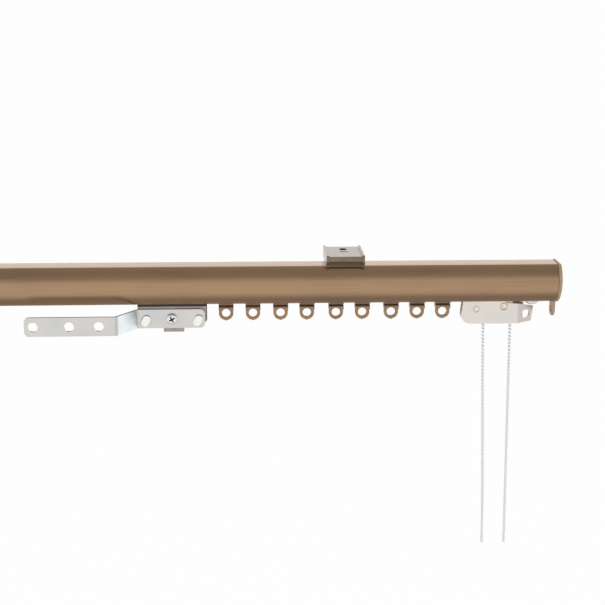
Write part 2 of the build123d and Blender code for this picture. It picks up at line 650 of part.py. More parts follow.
with BuildPart() as guide:
    # two cheeks joined by a solid end, with two round noses that turn the cord runs down
    guide_plan = block_section(GUIDE_LEFT_X, GUIDE_RIGHT_X, GUIDE_LEFT_X, GUIDE_THROAT_END_X)
    extrude(guide_plan, amount=BLOCK_TOP_Z - LIP_Z)
    with BuildSketch(front_plane(SLOT_Y)):
        for corner_x, run_z in ((NEAR_CORNER_X, LOWER_RUN_Z), (FAR_CORNER_X, UPPER_RUN_Z)):
            with Locations((corner_x - nose_tangent, run_z - NOSE_CORD_RADIUS)):
                Circle(NOSE_RADIUS)
    extrude(amount=PLATE_INNER, both=True)
    with BuildSketch(Plane.XY.offset(LIP_Z)):
        with Locations((HOUSING_SCREW_X, SLOT_Y)):
            Circle(CLAMP_SCREW_DIAMETER / 2 + RUNNING_GAP)
    extrude(amount=BLOCK_TOP_Z - LIP_Z, mode=Mode.SUBTRACT)
    top_rims = guide.edges().filter_by(Axis.X).group_by(Axis.Z)[-1].sort_by(Axis.Y)
    fillet([top_rims[0], top_rims[-1]], radius=RAIL_WALL)
save(guide.part, "cord_guide_block")


def clamp_screw(x):
    # screw from below through the slot into the block inside the rail
    seat = (x, SLOT_Y, BOTTOM_Z - HOUSING_SHEET)
    return machine_screw(
        seat,
        (0, 0, 1),
        (1, 0, 0),
        CLAMP_SCREW_DIAMETER,
        CLAMP_SCREW_LENGTH,
        CLAMP_SCREW_HEAD,
        CLAMP_SCREW_HEAD_HEIGHT,
        False,
    )


save(clamp_screw(HOUSING_SCREW_X), "pulley_clamp_screw")

with BuildPart() as return_block:
    # left-hand block with the return wheel between its cheeks
    return_plan = block_section(
        RETURN_SOLID_END_X, RETURN_OPEN_END_X, RETURN_SOLID_START_X, RETURN_OPEN_END_X
    )
    extrude(return_plan, amount=BLOCK_TOP_Z - LIP_Z)
    with BuildSketch(front_plane(SLOT_Y)):
        with Locations((RETURN_WHEEL_X, RETURN_WHEEL_Z)):
            Circle(AXLE_DIAMETER / 2 + RUNNING_GAP)
    extrude(amount=2 * BLOCK_HALF_WIDTH, both=True, mode=Mode.SUBTRACT)
    with BuildSketch(Plane.XY.offset(LIP_Z)):
        with Locations((RETURN_SCREW_X, SLOT_Y)):
            Circle(CLAMP_SCREW_DIAMETER / 2 + RUNNING_GAP)
    extrude(amount=BLOCK_TOP_Z - LIP_Z, mode=Mode.SUBTRACT)
    return_rims = return_block.edges().filter_by(Axis.X).group_by(Axis.Z)[-1].sort_by(Axis.Y)
    fillet([return_rims[0], return_rims[-1]], radius=RAIL_WALL)
save(return_block.part, "return_block")
save(pulley_wheel(RETURN_WHEEL_X, RETURN_WHEEL_Z), "return_wheel")
save(axle_pin(RETURN_WHEEL_X, RETURN_WHEEL_Z, BLOCK_HALF_WIDTH), "return_axle")
save(clamp_screw(RETURN_SCREW_X), "return_clamp_screw")

with BuildPart() as return_plate:
    # plate below the slot that the left clamp screw pulls against the rail
    with BuildSketch(Plane.XY.offset(BOTTOM_Z)):
        with Locations((RETURN_SCREW_X, SLOT_Y)):
            RectangleRounded(RETURN_PLATE_LENGTH, RETURN_PLATE_WIDTH, HOUSING_SHEET)
            Circle(CLAMP_SCREW_DIAMETER / 2 + ASSEMBLY_GAP, mode=Mode.SUBTRACT)
    extrude(amount=-HOUSING_SHEET)
save(return_plate.part, "return_clamp_plate")

# Cord: one loop held along the rail, and two free falls

def fall_points(wheel_x, wheel_z, lean_per_drop):
    # where a fall leaves its wheel, where its free stretch starts just below, and where it ends
    run = sqrt(1 + lean_per_drop**2)
    touch = (wheel_x + WHEEL_CORD_RADIUS / run, wheel_z + WHEEL_CORD_RADIUS * lean_per_drop / run)
    start_z = touch[1] - FALL_START
    end_z = BOTTOM_Z - FALL_END_DROP
    start = (touch[0] + lean_per_drop * FALL_START, start_z)
    return touch, start, (touch[0] + lean_per_drop * (touch[1] - end_z), end_z)


def corner_of(top_x, run_z, touch, lean_per_drop):
    # where the sloping stretch and the line of the fall would cross above the wheel
    # points on the slope: (top_x + t, run_z - t * tan(slope)); on the fall: x = touch_x - lean * (z - touch_z)
    t = (touch[0] - lean_per_drop * (run_z - touch[1]) - top_x) / (1 - lean_per_drop * tan(slope))
    return top_x + t, run_z - t * tan(slope)


near_lean = NEAR_FALL_LEAN / FALL_END_DROP
far_lean = FAR_FALL_LEAN / FALL_END_DROP
near_touch, near_start, near_end = fall_points(NEAR_WHEEL_X, NEAR_WHEEL_Z, near_lean)
far_touch, far_start, far_end = fall_points(FAR_WHEEL_X, FAR_WHEEL_Z, far_lean)
near_corner = corner_of(NEAR_CORNER_X, LOWER_RUN_Z, near_touch, near_lean)
far_corner = corner_of(FAR_CORNER_X, UPPER_RUN_Z, far_touch, far_lean)
print("falls start and end", near_start, near_end, far_start, far_end)
turn_x = RETURN_WHEEL_X - WHEEL_CORD_RADIUS
TURN_STRAIGHT = 0.1
turn_radius = WHEEL_CORD_RADIUS - TURN_STRAIGHT / 2
loop_route = [
    (near_start[0], SLOT_Y, near_start[1]),
    (near_corner[0], SLOT_Y, near_corner[1]),
    (NEAR_CORNER_X, SLOT_Y, LOWER_RUN_Z),
    (turn_x, SLOT_Y, LOWER_RUN_Z),
    (turn_x, SLOT_Y, UPPER_RUN_Z),
    (FAR_CORNER_X, SLOT_Y, UPPER_RUN_Z),
    (far_corner[0], SLOT_Y, far_corner[1]),
    (far_start[0], SLOT_Y, far_start[1]),
]
loop_radii = [
    WHEEL_CORD_RADIUS,
    NOSE_CORD_RADIUS,
    turn_radius,
    turn_radius,
    NOSE_CORD_RADIUS,
    WHEEL_CORD_RADIUS,
]


def cord_tube(route, radii, name):
    # round tube along straight runs joined by tangent arcs
    with BuildPart() as tube:
        with BuildLine() as path:
            if radii:
                FilletPolyline(*route, radius=radii)
            else:
                Line(*route)
        spine = path.wire()
        with BuildSketch(Plane(spine @ 0, z_dir=spine % 0)):
            Circle(CORD_RADIUS)
        sweep(path=spine)
    length = spine.length
    expected = length * 3.14159265 * CORD_RADIUS**2
    print(name, "length", round(length, 1), "radii", [round(r, 2) for r in radii])
    print("  volume over section times length:", round(tube.part.volume / expected, 4))
    save(tube.part, name)


cord_tube(loop_route, loop_radii, "cord_loop")
for name, start, end in (("near", near_start, near_end), ("far", far_start, far_end)):
    cord_tube([(start[0], SLOT_Y, start[1]), (end[0], SLOT_Y, end[1])], [], "cord_fall_" + name)

HEAD_Z = LIP_Z + SLIDE_GAP
YOKE_TOP_Z = BOTTOM_Z - SLIDE_GAP
EYE_Z = BOTTOM_Z - EYE_DROP


def at_eye_rim(edge):
    # the two round edges of the hole in a glider's eye
    return edge.geom_type == GeomType.CIRCLE and abs(edge.radius - EYE_HOLE_RADIUS) < RUNNING_GAP


def glider(x):
    # head on the lips, neck in the slot, flange and waist below the rail, arched yoke,
    # thin ring eye with bevelled rims and its moulding nib
    cheek_top = YOKE_TOP_Z - GLIDER_FLANGE - GLIDER_WAIST_HEIGHT
    with BuildPart() as piece:
        with BuildSketch(Plane.XY.offset(HEAD_Z)) as head_plan:
            with Locations((x, SLOT_Y)):
                Rectangle(GLIDER_HEAD_LENGTH, GLIDER_HEAD_WIDTH)
            chamfer(head_plan.vertices(), length=GLIDER_HEAD_CORNER)
        extrude(amount=GLIDER_HEAD_HEIGHT)
        with BuildSketch(Plane.XY.offset(HEAD_Z)):
            with Locations((x, SLOT_Y)):
                Rectangle(GLIDER_NECK_LENGTH, SLOT_WIDTH - 2 * SLIDE_GAP)
        extrude(amount=YOKE_TOP_Z - HEAD_Z)
        with BuildSketch(Plane.XY.offset(YOKE_TOP_Z)):
            with Locations((x, SLOT_Y)):
                Rectangle(GLIDER_WIDTH, GLIDER_YOKE_DEPTH)
        extrude(amount=-GLIDER_FLANGE)
        with BuildSketch(Plane.XY.offset(YOKE_TOP_Z)):
            with Locations((x, SLOT_Y)):
                Rectangle(GLIDER_WAIST_WIDTH, GLIDER_WAIST_DEPTH)
        extrude(amount=-GLIDER_YOKE_HEIGHT)
        with BuildSketch(Plane.XY.offset(cheek_top)) as yoke_plan:
            with Locations((x, SLOT_Y)):
                Rectangle(GLIDER_WIDTH, GLIDER_YOKE_DEPTH)
            chamfer(yoke_plan.vertices(), length=GLIDER_YOKE_CORNER)
        extrude(amount=YOKE_TOP_Z - GLIDER_YOKE_HEIGHT - cheek_top)
        with BuildSketch(front_plane(SLOT_Y)):
            with Locations((x, EYE_Z)):
                Circle(EYE_HOLE_RADIUS + GLIDER_ARCH_MARGIN)
        extrude(amount=GLIDER_YOKE_DEPTH, both=True, mode=Mode.SUBTRACT)
        with BuildSketch(front_plane(SLOT_Y)):
            with Locations((x, EYE_Z)):
                Circle(EYE_OUTER_RADIUS)
            with Locations((x, (EYE_Z + YOKE_TOP_Z - SLIDE_GAP) / 2)):
                Rectangle(2 * EYE_OUTER_RADIUS, YOKE_TOP_Z - SLIDE_GAP - EYE_Z)
            with Locations((x, EYE_Z)):
                Circle(EYE_HOLE_RADIUS, mode=Mode.SUBTRACT)
        extrude(amount=EYE_THICKNESS / 2, both=True)
        chamfer(piece.edges().filter_by(at_eye_rim), length=EYE_BEVEL)
        with BuildSketch(front_plane(SLOT_Y)):
            with Locations((x, EYE_Z - EYE_OUTER_RADIUS)):
                Rectangle(NIB_WIDTH, 2 * NIB_HEIGHT)
        extrude(amount=NIB_WIDTH / 2, both=True)
    return piece.part


for i in range(GLIDER_COUNT):
    glider_x = GLIDER_FIRST_X + i * GLIDER_PITCH + GLIDER_DRIFT[i % len(GLIDER_DRIFT)]
    save(glider(glider_x), "glider_right_" + str(i + 1))
    save(glider(-glider_x), "glider_left_" + str(i + 1))

WEB_BOTTOM_Z = BOTTOM_Z - WEB_HEIGHT
ARM_TOP_Z = BOTTOM_Z - ARM_TOP_GAP
ARM_MIDDLE_Z = ARM_TOP_Z - ARM_HEIGHT / 2
SHOE_TOP_Z = HEAD_Z + SHOE_HEIGHT
FOOT_TOP_Z = SHOE_TOP_Z + FOOT_PLATE_HEIGHT
MASTER_LENGTH = MASTER_LEFT_END + MASTER_RIGHT_END
MASTER_MIDDLE = (MASTER_RIGHT_END - MASTER_LEFT_END) / 2


def master(side, name, grip_z):
    # one carrier with its arm; the left one is the same set turned half round about Z
    origin_x = side * MASTER_X
    front = Plane((origin_x, SLOT_Y, 0), x_dir=(side, 0, 0), z_dir=(0, -side, 0))

    def level(z):
        return Plane((origin_x, SLOT_Y, z), x_dir=(side, 0, 0), z_dir=(0, 0, 1))

    with BuildPart() as casting:
        with BuildSketch(front):
            with BuildLine():
                Polyline(
                    (-MASTER_LEFT_END, FOOT_TOP_Z),
                    (-MASTER_LEFT_END, WEB_BOTTOM_Z),
                    (TAB_BELOW_OFFSET - TAB_BELOW_WIDTH / 2, WEB_BOTTOM_Z),
                    (TAB_BELOW_OFFSET - TAB_BELOW_WIDTH / 2, WEB_BOTTOM_Z - TAB_BELOW_HEIGHT),
                    (TAB_BELOW_OFFSET + TAB_BELOW_WIDTH / 2, WEB_BOTTOM_Z - TAB_BELOW_HEIGHT),
                    (TAB_BELOW_OFFSET + TAB_BELOW_WIDTH / 2, WEB_BOTTOM_Z),
                    (MASTER_RIGHT_END - WEB_CORNER, WEB_BOTTOM_Z),
                    (MASTER_RIGHT_END, WEB_BOTTOM_Z + WEB_CORNER),
                    (MASTER_RIGHT_END, FOOT_TOP_Z),
                    close=True,
                )
            make_face()
        extrude(amount=WEB_THICKNESS / 2, both=True)
        with BuildSketch(level(SHOE_TOP_Z)):
            with Locations((MASTER_MIDDLE, 0)):
                RectangleRounded(MASTER_LENGTH, FOOT_PLATE_WIDTH, FOOT_PLATE_HEIGHT)
        extrude(amount=FOOT_PLATE_HEIGHT)
        with BuildSketch(level(FOOT_TOP_Z)):
            RectangleRounded(POST_LENGTH, 2 * POST_HALF_WIDTH, POST_HALF_WIDTH / 2)
        extrude(amount=UPPER_RUN_Z + POST_CAP - FOOT_TOP_Z)
        with BuildSketch(Plane.YZ.offset(origin_x)):
            with Locations((SLOT_Y, UPPER_RUN_Z), (SLOT_Y, LOWER_RUN_Z)):
                Circle(CORD_RADIUS + CORD_GAP)
        extrude(amount=POST_LENGTH, both=True, mode=Mode.SUBTRACT)
        with BuildSketch(Plane((origin_x, SLOT_Y, grip_z), x_dir=(side, 0, 0), z_dir=(0, -side, 0))):
            Circle(GRIP_SCREW_DIAMETER / 2 + RUNNING_GAP)
        extrude(amount=POST_HALF_WIDTH + ASSEMBLY_GAP, mode=Mode.SUBTRACT)
        with BuildSketch(front.offset(WEB_THICKNESS / 2)):
            with Locations((0, ARM_MIDDLE_Z)):
                Circle(ARM_SCREW_DIAMETER / 2 + RUNNING_GAP)
        extrude(amount=-WEB_THICKNESS, mode=Mode.SUBTRACT)
    save(casting.part, name + "_casting")

    with BuildPart() as shoe:
        # nylon runner round the web, sliding on the lips
        with BuildSketch(level(HEAD_Z)):
            with Locations((MASTER_MIDDLE, 0)):
                RectangleRounded(MASTER_LENGTH + SHOE_CORNER, SHOE_WIDTH, SHOE_CORNER)
                Rectangle(MASTER_LENGTH, WEB_THICKNESS, mode=Mode.SUBTRACT)
        extrude(amount=SHOE_HEIGHT)
    save(shoe.part, name + "_shoe")

    with BuildPart() as grip:
        # headless screw in the post, its tip just clear of the cord that it locates
        with BuildSketch(Plane((origin_x, SLOT_Y, grip_z), x_dir=(side, 0, 0), z_dir=(0, -side, 0)).offset(CORD_RADIUS + CORD_GAP)):
            Circle(GRIP_SCREW_DIAMETER / 2)
        extrude(amount=POST_HALF_WIDTH - CORD_RADIUS - CORD_GAP)
    save(grip.part, name + "_cord_screw")

    with BuildPart() as arm:
        # joggled strip; its far flat passes in front of the other carrier
        near_y = -WEB_THICKNESS / 2 - ARM_THICKNESS / 2
        with BuildSketch(level(ARM_TOP_Z - ARM_HEIGHT)):
            with BuildLine():
                FilletPolyline(
                    (ARM_FAR_END, near_y - ARM_OFFSET),
                    (ARM_JOGGLE_START, near_y - ARM_OFFSET),
                    (ARM_JOGGLE_END, near_y),
                    (ARM_NEAR_END, near_y),
                    radius=ARM_BEND_RADIUS,
                )
            trace(line_width=ARM_THICKNESS)
        extrude(amount=ARM_HEIGHT)
        crosswise = arm.edges().filter_by(Axis.Y)
        fillet(crosswise.group_by(Axis.X)[0] + crosswise.group_by(Axis.X)[-1], radius=ARM_CORNER)
        with BuildSketch(front.offset(WEB_THICKNESS / 2 + ARM_THICKNESS)):
            for u in (-TONGUE_OFFSET, TONGUE_OFFSET):
                with Locations(Location((u, ARM_MIDDLE_Z - TONGUE_DROP), TONGUE_TILT)):
                    SlotCenterToCenter(TONGUE_SPAN, TONGUE_WIDTH)
        extrude(amount=TONGUE_RISE, taper=TONGUE_TAPER)
        with BuildSketch(front):
            with Locations([(u, ARM_MIDDLE_Z) for u in ARM_HOLES]):
                Circle(ARM_HOLE_DIAMETER / 2)
            with Locations((0, ARM_MIDDLE_Z)):
                Circle(ARM_SCREW_DIAMETER / 2 + ASSEMBLY_GAP)
        extrude(amount=2 * ARM_OFFSET, mode=Mode.SUBTRACT)
    save(arm.part, name + "_arm")

    head_seat = (origin_x, SLOT_Y - side * (WEB_THICKNESS / 2 + ARM_THICKNESS), ARM_MIDDLE_Z)
    save(
        machine_screw(
            head_seat,
            (0, side, 0),
            (side, 0, 0),
            ARM_SCREW_DIAMETER,
            ARM_THICKNESS + WEB_THICKNESS,
            ARM_SCREW_HEAD,
            ARM_SCREW_HEAD_HEIGHT,
            True,
        ),
        name + "_arm_screw",
    )


master(1, "master_right", LOWER_RUN_Z)
master(-1, "master_left", UPPER_RUN_Z)
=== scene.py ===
"""Corded curtain track, dressed over its CAD frame. Laid out as a Blender add-on and run as a script.
Everything is in metres in the frame of the CAD: X along the rail, Y away from the room, Z up."""

import functools
import json
import math

import bmesh
import bpy
import numpy as np
from mathutils import Matrix, Vector

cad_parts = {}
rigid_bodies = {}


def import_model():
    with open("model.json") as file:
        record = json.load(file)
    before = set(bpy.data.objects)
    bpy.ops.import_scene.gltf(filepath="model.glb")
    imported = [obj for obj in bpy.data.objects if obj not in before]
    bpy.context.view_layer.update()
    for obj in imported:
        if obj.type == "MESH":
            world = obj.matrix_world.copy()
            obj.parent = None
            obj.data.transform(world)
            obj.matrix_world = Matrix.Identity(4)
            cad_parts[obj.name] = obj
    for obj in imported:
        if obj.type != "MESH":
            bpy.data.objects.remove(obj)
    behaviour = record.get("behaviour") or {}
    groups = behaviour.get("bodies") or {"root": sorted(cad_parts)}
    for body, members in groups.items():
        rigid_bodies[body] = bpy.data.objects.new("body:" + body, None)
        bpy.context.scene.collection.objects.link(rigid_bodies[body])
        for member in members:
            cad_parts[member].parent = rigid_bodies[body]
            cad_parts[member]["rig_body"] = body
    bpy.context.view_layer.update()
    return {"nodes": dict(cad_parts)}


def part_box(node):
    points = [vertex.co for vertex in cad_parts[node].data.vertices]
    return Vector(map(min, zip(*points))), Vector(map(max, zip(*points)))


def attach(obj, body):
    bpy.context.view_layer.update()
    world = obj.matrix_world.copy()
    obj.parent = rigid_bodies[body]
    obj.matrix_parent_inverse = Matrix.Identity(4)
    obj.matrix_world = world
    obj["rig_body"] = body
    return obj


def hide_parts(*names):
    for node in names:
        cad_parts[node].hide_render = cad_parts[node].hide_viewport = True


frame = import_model()

bl_info = {
    "name": "Corded curtain track",
    "version": (1, 0, 0),
    "blender": (4, 5, 0),
    "location": "3D View > Sidebar > Curtain track",
    "description": "Dresses the CAD frame of a corded curtain track with finished pieces and materials",
    "category": "Object",
}

MM = 0.001
SIDES = ("right", "left")
GLIDERS = range(1, 10)


def linear(code):
    """Linear red, green and blue of an sRGB hex colour."""
    values = [int(code[i : i + 2], 16) / 255 for i in (0, 2, 4)]
    return tuple(v / 12.92 if v <= 0.04045 else ((v + 0.055) / 1.055) ** 2.4 for v in values)


# ---------------------------------------------------------------- sizes and colours a user would change


class RailSettings(bpy.types.PropertyGroup):
    """Sizes and colours of the bronze rail, its caps and its brackets"""

    bow: bpy.props.FloatProperty(
        name="Bow", description="How far the front of the rail bows out", default=6.4 * MM, unit="LENGTH"
    )
    edge_round: bpy.props.FloatProperty(
        name="Edge round", description="Round on the long edges", default=0.45 * MM, unit="LENGTH"
    )
    bronze: bpy.props.FloatVectorProperty(
        name="Bronze", description="Colour of the anodised rail", subtype="COLOR", size=3, default=linear("aa8969")
    )
    cap_brown: bpy.props.FloatVectorProperty(
        name="Cap", description="Colour of the moulded end caps", subtype="COLOR", size=3, default=linear("a58a6e")
    )
    lacquer: bpy.props.FloatVectorProperty(
        name="Lacquer", description="Colour of the bracket lacquer", subtype="COLOR", size=3, default=linear("816c56")
    )


class MetalSettings(bpy.types.PropertyGroup):
    """Colours of the plated and cast metal"""

    zinc: bpy.props.FloatVectorProperty(
        name="Zinc plate", description="Colour of plated steel", subtype="COLOR", size=3, default=linear("e4ddd5")
    )
    casting: bpy.props.FloatVectorProperty(
        name="Casting", description="Colour of the die castings", subtype="COLOR", size=3, default=linear("b3a39e")
    )


class PlasticSettings(bpy.types.PropertyGroup):
    """Colours of the moulded pieces"""

    nylon: bpy.props.FloatVectorProperty(
        name="Nylon", description="Colour of wheels and blocks", subtype="COLOR", size=3, default=linear("e6e3da")
    )
    glider_brown: bpy.props.FloatVectorProperty(
        name="Gliders", description="Colour of the gliders", subtype="COLOR", size=3, default=linear("987859")
    )


class CordSettings(bpy.types.PropertyGroup):
    """Size and colours of the braided cord"""

    diameter: bpy.props.FloatProperty(
        name="Diameter", description="Outside diameter of the cord", default=1.8 * MM, unit="LENGTH"
    )
    braid_pitch: bpy.props.FloatProperty(
        name="Braid pitch", description="Length of one diamond of the braid", default=2.6 * MM, unit="LENGTH"
    )
    white: bpy.props.FloatVectorProperty(
        name="White", description="Colour of the plain strands", subtype="COLOR", size=3, default=linear("fbfcff")
    )
    fleck: bpy.props.FloatVectorProperty(
        name="Fleck", description="Colour of the tracer strands", subtype="COLOR", size=3, default=linear("3a4684")
    )


class StageSettings(bpy.types.PropertyGroup):
    """Camera, lamps and floor"""

    lens: bpy.props.FloatProperty(
        name="Lens", description="Focal length on a 36 mm sensor", default=71.4, unit="CAMERA"
    )
    key: bpy.props.FloatProperty(name="Key", description="Power of the key lamp", default=5.0, unit="POWER")
    fill: bpy.props.FloatProperty(name="Fill", description="Power of the fill lamp", default=4.0, unit="POWER")
    side: bpy.props.FloatProperty(name="Side", description="Power of the cool side lamp", default=1.25, unit="POWER")
    back: bpy.props.FloatProperty(name="Back", description="Power of the back lamp", default=1.3, unit="POWER")
    world: bpy.props.FloatProperty(name="Sky", description="Strength of the plain sky", default=0.7)
    mirror_low: bpy.props.FloatProperty(
        name="Dim", description="Brightness that metal mirrors from straight above and straight below", default=0.41
    )
    floor_drop: bpy.props.FloatProperty(
        name="Floor", description="Height of the floor below the track", default=0.9, unit="LENGTH"
    )


# ---------------------------------------------------------------- making meshes


def new_piece(name, mesh, body, finish, node, sharp=32.0):
    """Puts a mesh into the scene as a smooth-shaded piece that rides on a body, wears a finish and replaces a node."""
    mesh.shade_smooth()
    mesh.set_sharp_from_angle(angle=math.radians(sharp))
    mesh.materials.append(finish)
    piece = bpy.data.objects.new(name, mesh)
    bpy.context.scene.collection.objects.link(piece)
    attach(piece, body)
    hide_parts(node)
    return piece


def mesh_of(name, points, faces):
    """A mesh from an (n, 3) array of points and a list of faces."""
    mesh = bpy.data.meshes.new(name)
    mesh.from_pydata(points.tolist(), [], faces)
    mesh.update()
    return mesh


def read(items, key, width=1, kind=float):
    """One attribute of all the vertices, edges, loops or faces of a mesh, as an array with width columns."""
    values = np.zeros(len(items) * width, kind)
    items.foreach_get(key, values)
    return values.reshape(-1, width) if width > 1 else values


def grid_faces(rows, columns, wrap_rows=False):
    """Quads over rows closed rings of columns points each. wrap_rows also joins the last ring to the first."""
    i, j = np.meshgrid(np.arange(rows if wrap_rows else rows - 1), np.arange(columns), indexing="ij")
    i, j = i.ravel(), j.ravel()
    below, beside = (i + 1) % rows, (j + 1) % columns
    return np.stack([i * columns + j, i * columns + beside, below * columns + beside, below * columns + j], 1)


def ringed(name, rings, poles=None):
    """Mesh through rings of points (m, n, 3). poles are the two points that close the first and last ring. Without
    them the last ring joins the first."""
    m, n = rings.shape[:2]
    points = rings.reshape(-1, 3)
    faces = grid_faces(m, n, poles is None).tolist()
    if poles is not None:
        points = np.vstack([points, poles])
        j = np.arange(n)
        beside = (j + 1) % n
        first = np.stack([np.full(n, m * n), beside, j], 1)
        last = np.stack([np.full(n, m * n + 1), (m - 1) * n + j, (m - 1) * n + beside], 1)
        faces += first.tolist() + last.tolist()
    return outward(mesh_of(name, points, faces))


def outward(mesh):
    """Turns every face of a closed mesh outwards."""
    shell = bmesh.new()
    shell.from_mesh(mesh)
    bmesh.ops.recalc_face_normals(shell, faces=shell.faces)
    shell.to_mesh(mesh)
    shell.free()
    return mesh


def softened(node, finish, edge, segments=2):
    """Merged copy of a CAD node whose sharp edges get small rounds, which the real pressing or moulding has."""
    same_place, same_plane, sharp_edge = 2e-6, math.radians(0.4), math.radians(34.0)
    shell = bmesh.new()
    shell.from_mesh(frame["nodes"][node].data)
    bmesh.ops.remove_doubles(shell, verts=shell.verts, dist=same_place)
    bmesh.ops.dissolve_limit(shell, angle_limit=same_plane, verts=shell.verts, edges=shell.edges)
    mesh = bpy.data.meshes.new(node + "_finished")
    shell.to_mesh(mesh)
    shell.free()
    piece = new_piece(mesh.name, mesh, frame["nodes"][node]["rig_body"], finish, node)
    rounds = piece.modifiers.new("edge rounds", "BEVEL")
    rounds.width, rounds.segments = edge, segments
    rounds.limit_method, rounds.angle_limit = "ANGLE", sharp_edge
    piece.modifiers.new("flats stay flat", "WEIGHTED_NORMAL").keep_sharp = True
    return piece


def turned(profile, centre, axis, across, count):
    """Rings of a turned shape: each (radius, height) of the profile goes round the axis as centre
    + height * axis + radius * (cos a * across + sin a * (axis x across)), a from 0 to a full turn."""
    axis, across = np.asarray(axis, float), np.asarray(across, float)
    third = np.cross(axis, across)
    a = np.linspace(0, 2 * math.pi, count, endpoint=False)
    ring = np.cos(a)[:, None] * across + np.sin(a)[:, None] * third
    radius, height = np.asarray(profile, float).T
    return np.asarray(centre) + height[:, None, None] * axis + radius[:, None, None] * ring[None]


def pan_head(name, centre, out, across, radius, height):
    """Domed screw head on a disc grid. The height over the seat is H * (1 - (r/R)^4)^(1/3), and a cross recess is
    sunk into it where either arm of the cross covers the point, its depth fading to nothing at the arm's end."""
    out, across = np.asarray(out, float), np.asarray(across, float)
    third = np.cross(out, across)
    a = np.linspace(0, 2 * math.pi, 96, endpoint=False)
    share = np.concatenate([np.linspace(0.04, 0.86, 34), 1 - 0.14 * (1 - np.linspace(0.1, 1, 12)) ** 2])
    r = radius * share[:, None]
    x, y = r * np.cos(a), r * np.sin(a)
    dome = height * np.clip(1 - (r / radius) ** 4, 0, 1) ** (1 / 3) * np.ones_like(x)
    arm, half, slope, depth = 0.56 * radius, 0.13 * radius, 0.05 * radius, 0.62 * height
    fade = 0.45 * arm

    def covered(along, aside):
        return np.clip((half - np.abs(aside)) / slope, 0, 1) * np.clip((arm - np.abs(along)) / fade, 0, 1)

    sunk = np.maximum(covered(x, y), covered(y, x))
    top = x[..., None] * across + y[..., None] * third + (dome - depth * sunk)[..., None] * out
    seat = radius * (np.cos(a)[:, None] * across + np.sin(a)[:, None] * third)
    rings = np.concatenate([top, seat[None], seat[None] * 0.5]) + np.asarray(centre)
    poles = np.array([np.asarray(centre) + (height - depth) * out, np.asarray(centre)])
    mesh = ringed(name, rings, poles)
    depths = np.zeros(len(mesh.vertices), np.float32)
    depths[: sunk.size] = sunk.ravel()
    depths[-2] = 1.0  # the pole at the bottom of the recess
    mesh.attributes.new("sunk", "FLOAT", "POINT").data.foreach_set("value", depths)
    return mesh


# ---------------------------------------------------------------- materials

EASED = {"interpolation_type": "SMOOTHSTEP"}
COLOURS = {"data_type": "RGBA"}


def add(tree, kind, settings=None, inputs=None, stops=()):
    """Adds a node of a kind, sets its attributes, and sets or links its inputs: a node as a value links its first
    output, and a (node, output) pair the output named. stops are the places and linear colours along a ramp."""
    made = tree.nodes.new(kind)
    for key, value in (settings or {}).items():
        setattr(made, key, value)
    for key, value in (inputs or {}).items():
        if isinstance(value, bpy.types.Node):
            value = (value, 0)
        if isinstance(value, tuple) and isinstance(value[0], bpy.types.Node):
            tree.links.new(value[0].outputs[value[1]], made.inputs[key])
        else:
            made.inputs[key].default_value = value
    for number, (at, colour) in enumerate(stops):
        made.color_ramp.elements[number].position = at
        made.color_ramp.elements[number].color = (*colour, 1)
    return made


def made_once(lay):
    """Turns a function that lays a finish into an empty node tree, by its kind if it has kinds, into one that gives
    the finish as a material. It is made at the first call and found by its name after that."""

    @functools.wraps(lay)
    def given(*kind):
        name = "_".join((lay.__name__, *kind))
        material = bpy.data.materials.get(name)
        if material is None:
            material = bpy.data.materials.new(name)
            material.use_nodes = True
            material.node_tree.nodes.clear()
            lay(material.node_tree, *kind)
        return material

    return given


def surface(tree, colour, rough, raised, constants=None):
    """Shader and output of a finish. rough is a number, or a pattern with the values at its 0 and 1. raised is the
    pattern of its relief with its height in metres. Constants stand on the shader's own sockets."""
    if isinstance(rough, tuple):
        pattern, smooth, dull = rough
        rough = add(tree, "ShaderNodeMapRange", None, {"Value": pattern, "To Min": smooth, "To Max": dull})
    bump = add(tree, "ShaderNodeBump", None, {"Height": raised[0], "Distance": raised[1]})
    sockets = {"Base Color": colour, "Roughness": rough, "Normal": bump, **(constants or {})}
    shader = add(tree, "ShaderNodeBsdfPrincipled", None, sockets)
    add(tree, "ShaderNodeOutputMaterial", None, {"Surface": shader})


def stretched(tree, scale, detail, squeeze=(1, 1, 1)):
    """Noise over Object coordinates, in features per metre, drawn out along an axis by a factor below 1."""
    coords = add(tree, "ShaderNodeTexCoord")
    placed = add(tree, "ShaderNodeMapping", None, {"Vector": (coords, "Object"), "Scale": squeeze})
    return add(tree, "ShaderNodeTexNoise", None, {"Vector": placed, "Scale": scale, "Detail": detail})


def shade(colour, factor):
    """A linear colour made lighter or darker."""
    return tuple(min(1.0, c * factor) for c in colour)


def tinted(colour, red, green, blue):
    """A linear colour with each part made stronger or weaker."""
    return tuple(min(1.0, c * f) for c, f in zip(colour, (red, green, blue)))


def ends_of(source, start, end):
    """Map Range inputs that run from start to end, each a pair of the input value and its result."""
    return {"Value": source, "From Min": start[0], "From Max": end[0], "To Min": start[1], "To Max": end[1]}


def place_of(tree):
    """X, Y and Z of the piece in its Object coordinates, which are the CAD's own at rest."""
    coords = add(tree, "ShaderNodeTexCoord")
    return add(tree, "ShaderNodeSeparateXYZ", None, {"Vector": (coords, "Object")})


def between(tree, source, low, high, soft):
    """1 between two places along an axis and 0 elsewhere, with soft edges, for bands of painted shade and painted
    highlight.
    """
    rise = add(tree, "ShaderNodeMapRange", EASED, ends_of(source, (low - soft, 0.0), (low + soft, 1.0)))
    fall = add(tree, "ShaderNodeMapRange", EASED, ends_of(source, (high - soft, 1.0), (high + soft, 0.0)))
    return add(tree, "ShaderNodeMath", {"operation": "MULTIPLY"}, {0: rise, 1: fall})


